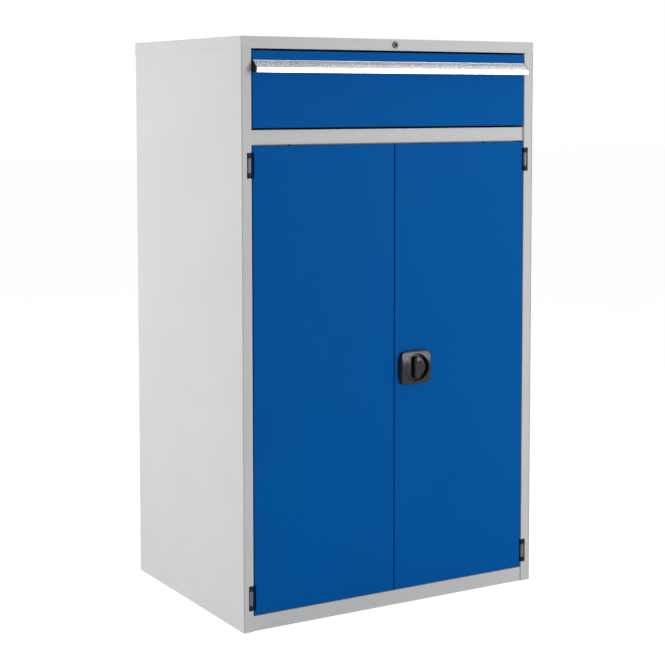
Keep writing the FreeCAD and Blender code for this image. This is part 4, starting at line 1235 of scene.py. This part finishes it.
@dataclass
class Stage:
    """White floor and surround, soft lamps and the camera at the photograph's place."""

    camera_place: Place = (-2.2578, -3.8634, 1.3451)
    camera_yaw: float = 31.03
    camera_pitch: float = 4.15
    lens: float = 87.0
    sensor: float = 36.0
    shift: Point = (-0.0304, -0.1759)
    floor_half: float = 30.0
    floor_glow: float = 0.9
    floor_colour: Colour = (0.95, 0.95, 0.95)
    floor_shade: Colour = (0.3, 0.3, 0.3)
    world_light: float = 0.28
    lamps: tuple[StudioLamp, ...] = (
        StudioLamp("right_key", (1.9, -3.6, 1.6), (0.0, 0.0, 0.8), 1.2, 54.0),
        StudioLamp("left_fill", (-4.2, 1.2, 1.5), (0.0, 0.0, 0.8), 2.2, 101.0),
        StudioLamp("top_soft", (1.9, -0.45, 3.4), (0.2, -0.2, 1.5), 1.8, 32.0),
    )

    def seen(self, graph: Graph) -> Socket:
        """1 for what the camera sees straight on, in a reflection or through glass, and 0 for light.

        Args:
            graph: the graph that reads it.
        Returns:
            The socket that holds it.
        """
        path = graph.add("ShaderNodeLightPath").outputs
        mirrored = graph.math("MAXIMUM", path["Is Glossy Ray"], path["Is Transmission Ray"])
        return graph.math("MAXIMUM", path["Is Camera Ray"], mirrored)

    def floor_material(self) -> Material:
        """A matt floor for light; to the eye it is a faint shade over a glow, which keeps the shadow.

        Returns:
            The material.
        """
        material = bpy.data.materials.new("studio_floor")
        graph = Graph.fresh(material)
        matt = graph.add("ShaderNodeBsdfDiffuse", {"Color": (*self.floor_colour, 1.0)}).outputs[0]
        faint = graph.add("ShaderNodeBsdfDiffuse", {"Color": (*self.floor_shade, 1.0)}).outputs[0]
        glow = graph.add("ShaderNodeEmission", {"Color": WHITE, "Strength": self.floor_glow}).outputs[0]
        shown = graph.add("ShaderNodeAddShader", {0: faint, 1: glow}).outputs[0]
        mixed = graph.add("ShaderNodeMixShader", {0: self.seen(graph), 1: matt, 2: shown}).outputs[0]
        graph.add("ShaderNodeOutputMaterial", {"Surface": mixed})
        return material

    def floor(self) -> None:
        """A pale floor that looks white where it is lit and keeps the cupboard's soft shadow."""
        half = self.floor_half
        corners = [(-half, -half, 0.0), (half, -half, 0.0), (half, half, 0.0), (-half, half, 0.0)]
        mesh = bpy.data.meshes.new("studio_floor")
        mesh.from_pydata(corners, [], [range(len(corners))])
        mesh.materials.append(self.floor_material())
        floor = put("studio_floor", mesh)

    def surround(self) -> None:
        """A white surround to look at, and a plain soft light from it."""
        world = bpy.data.worlds.new("studio_surround")
        graph = Graph.fresh(world)
        strength = graph.span(self.seen(graph), UNIT, (self.world_light, 1.0))
        glow = graph.add("ShaderNodeBackground", {"Color": WHITE, "Strength": strength}).outputs[0]
        graph.add("ShaderNodeOutputWorld", {"Surface": glow})
        bpy.context.scene.world = world

    def camera(self) -> None:
        """The camera, by its place, turn and lens."""
        lens = bpy.data.cameras.new("view")
        lens.lens = self.lens
        lens.sensor_width = self.sensor
        lens.shift_x, lens.shift_y = self.shift
        holder = put("view", lens)
        holder.location = self.camera_place
        tilt = QUARTER - math.radians(self.camera_pitch)
        holder.rotation_euler = (tilt, 0.0, -math.radians(self.camera_yaw))
        bpy.context.scene.camera = holder

    def build(self) -> None:
        """Sets up the floor, the surround, the lamps and the camera."""
        self.floor()
        self.surround()
        for lamp in self.lamps:
            lamp.build()
        self.camera()
        bpy.context.scene.view_settings.view_transform = "Standard"


def main() -> None:
    """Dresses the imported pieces, adds the new ones and sets the stage."""
    logging.basicConfig(level=logging.INFO, format="%(message)s")
    palette = Palette()
    palette.dress()
    for assembly in (DrawerPull(palette), TurnHandle(palette), LockScrews(palette)):
        assembly.build()
    Stage().build()


if __name__ == "__main__":
    main()
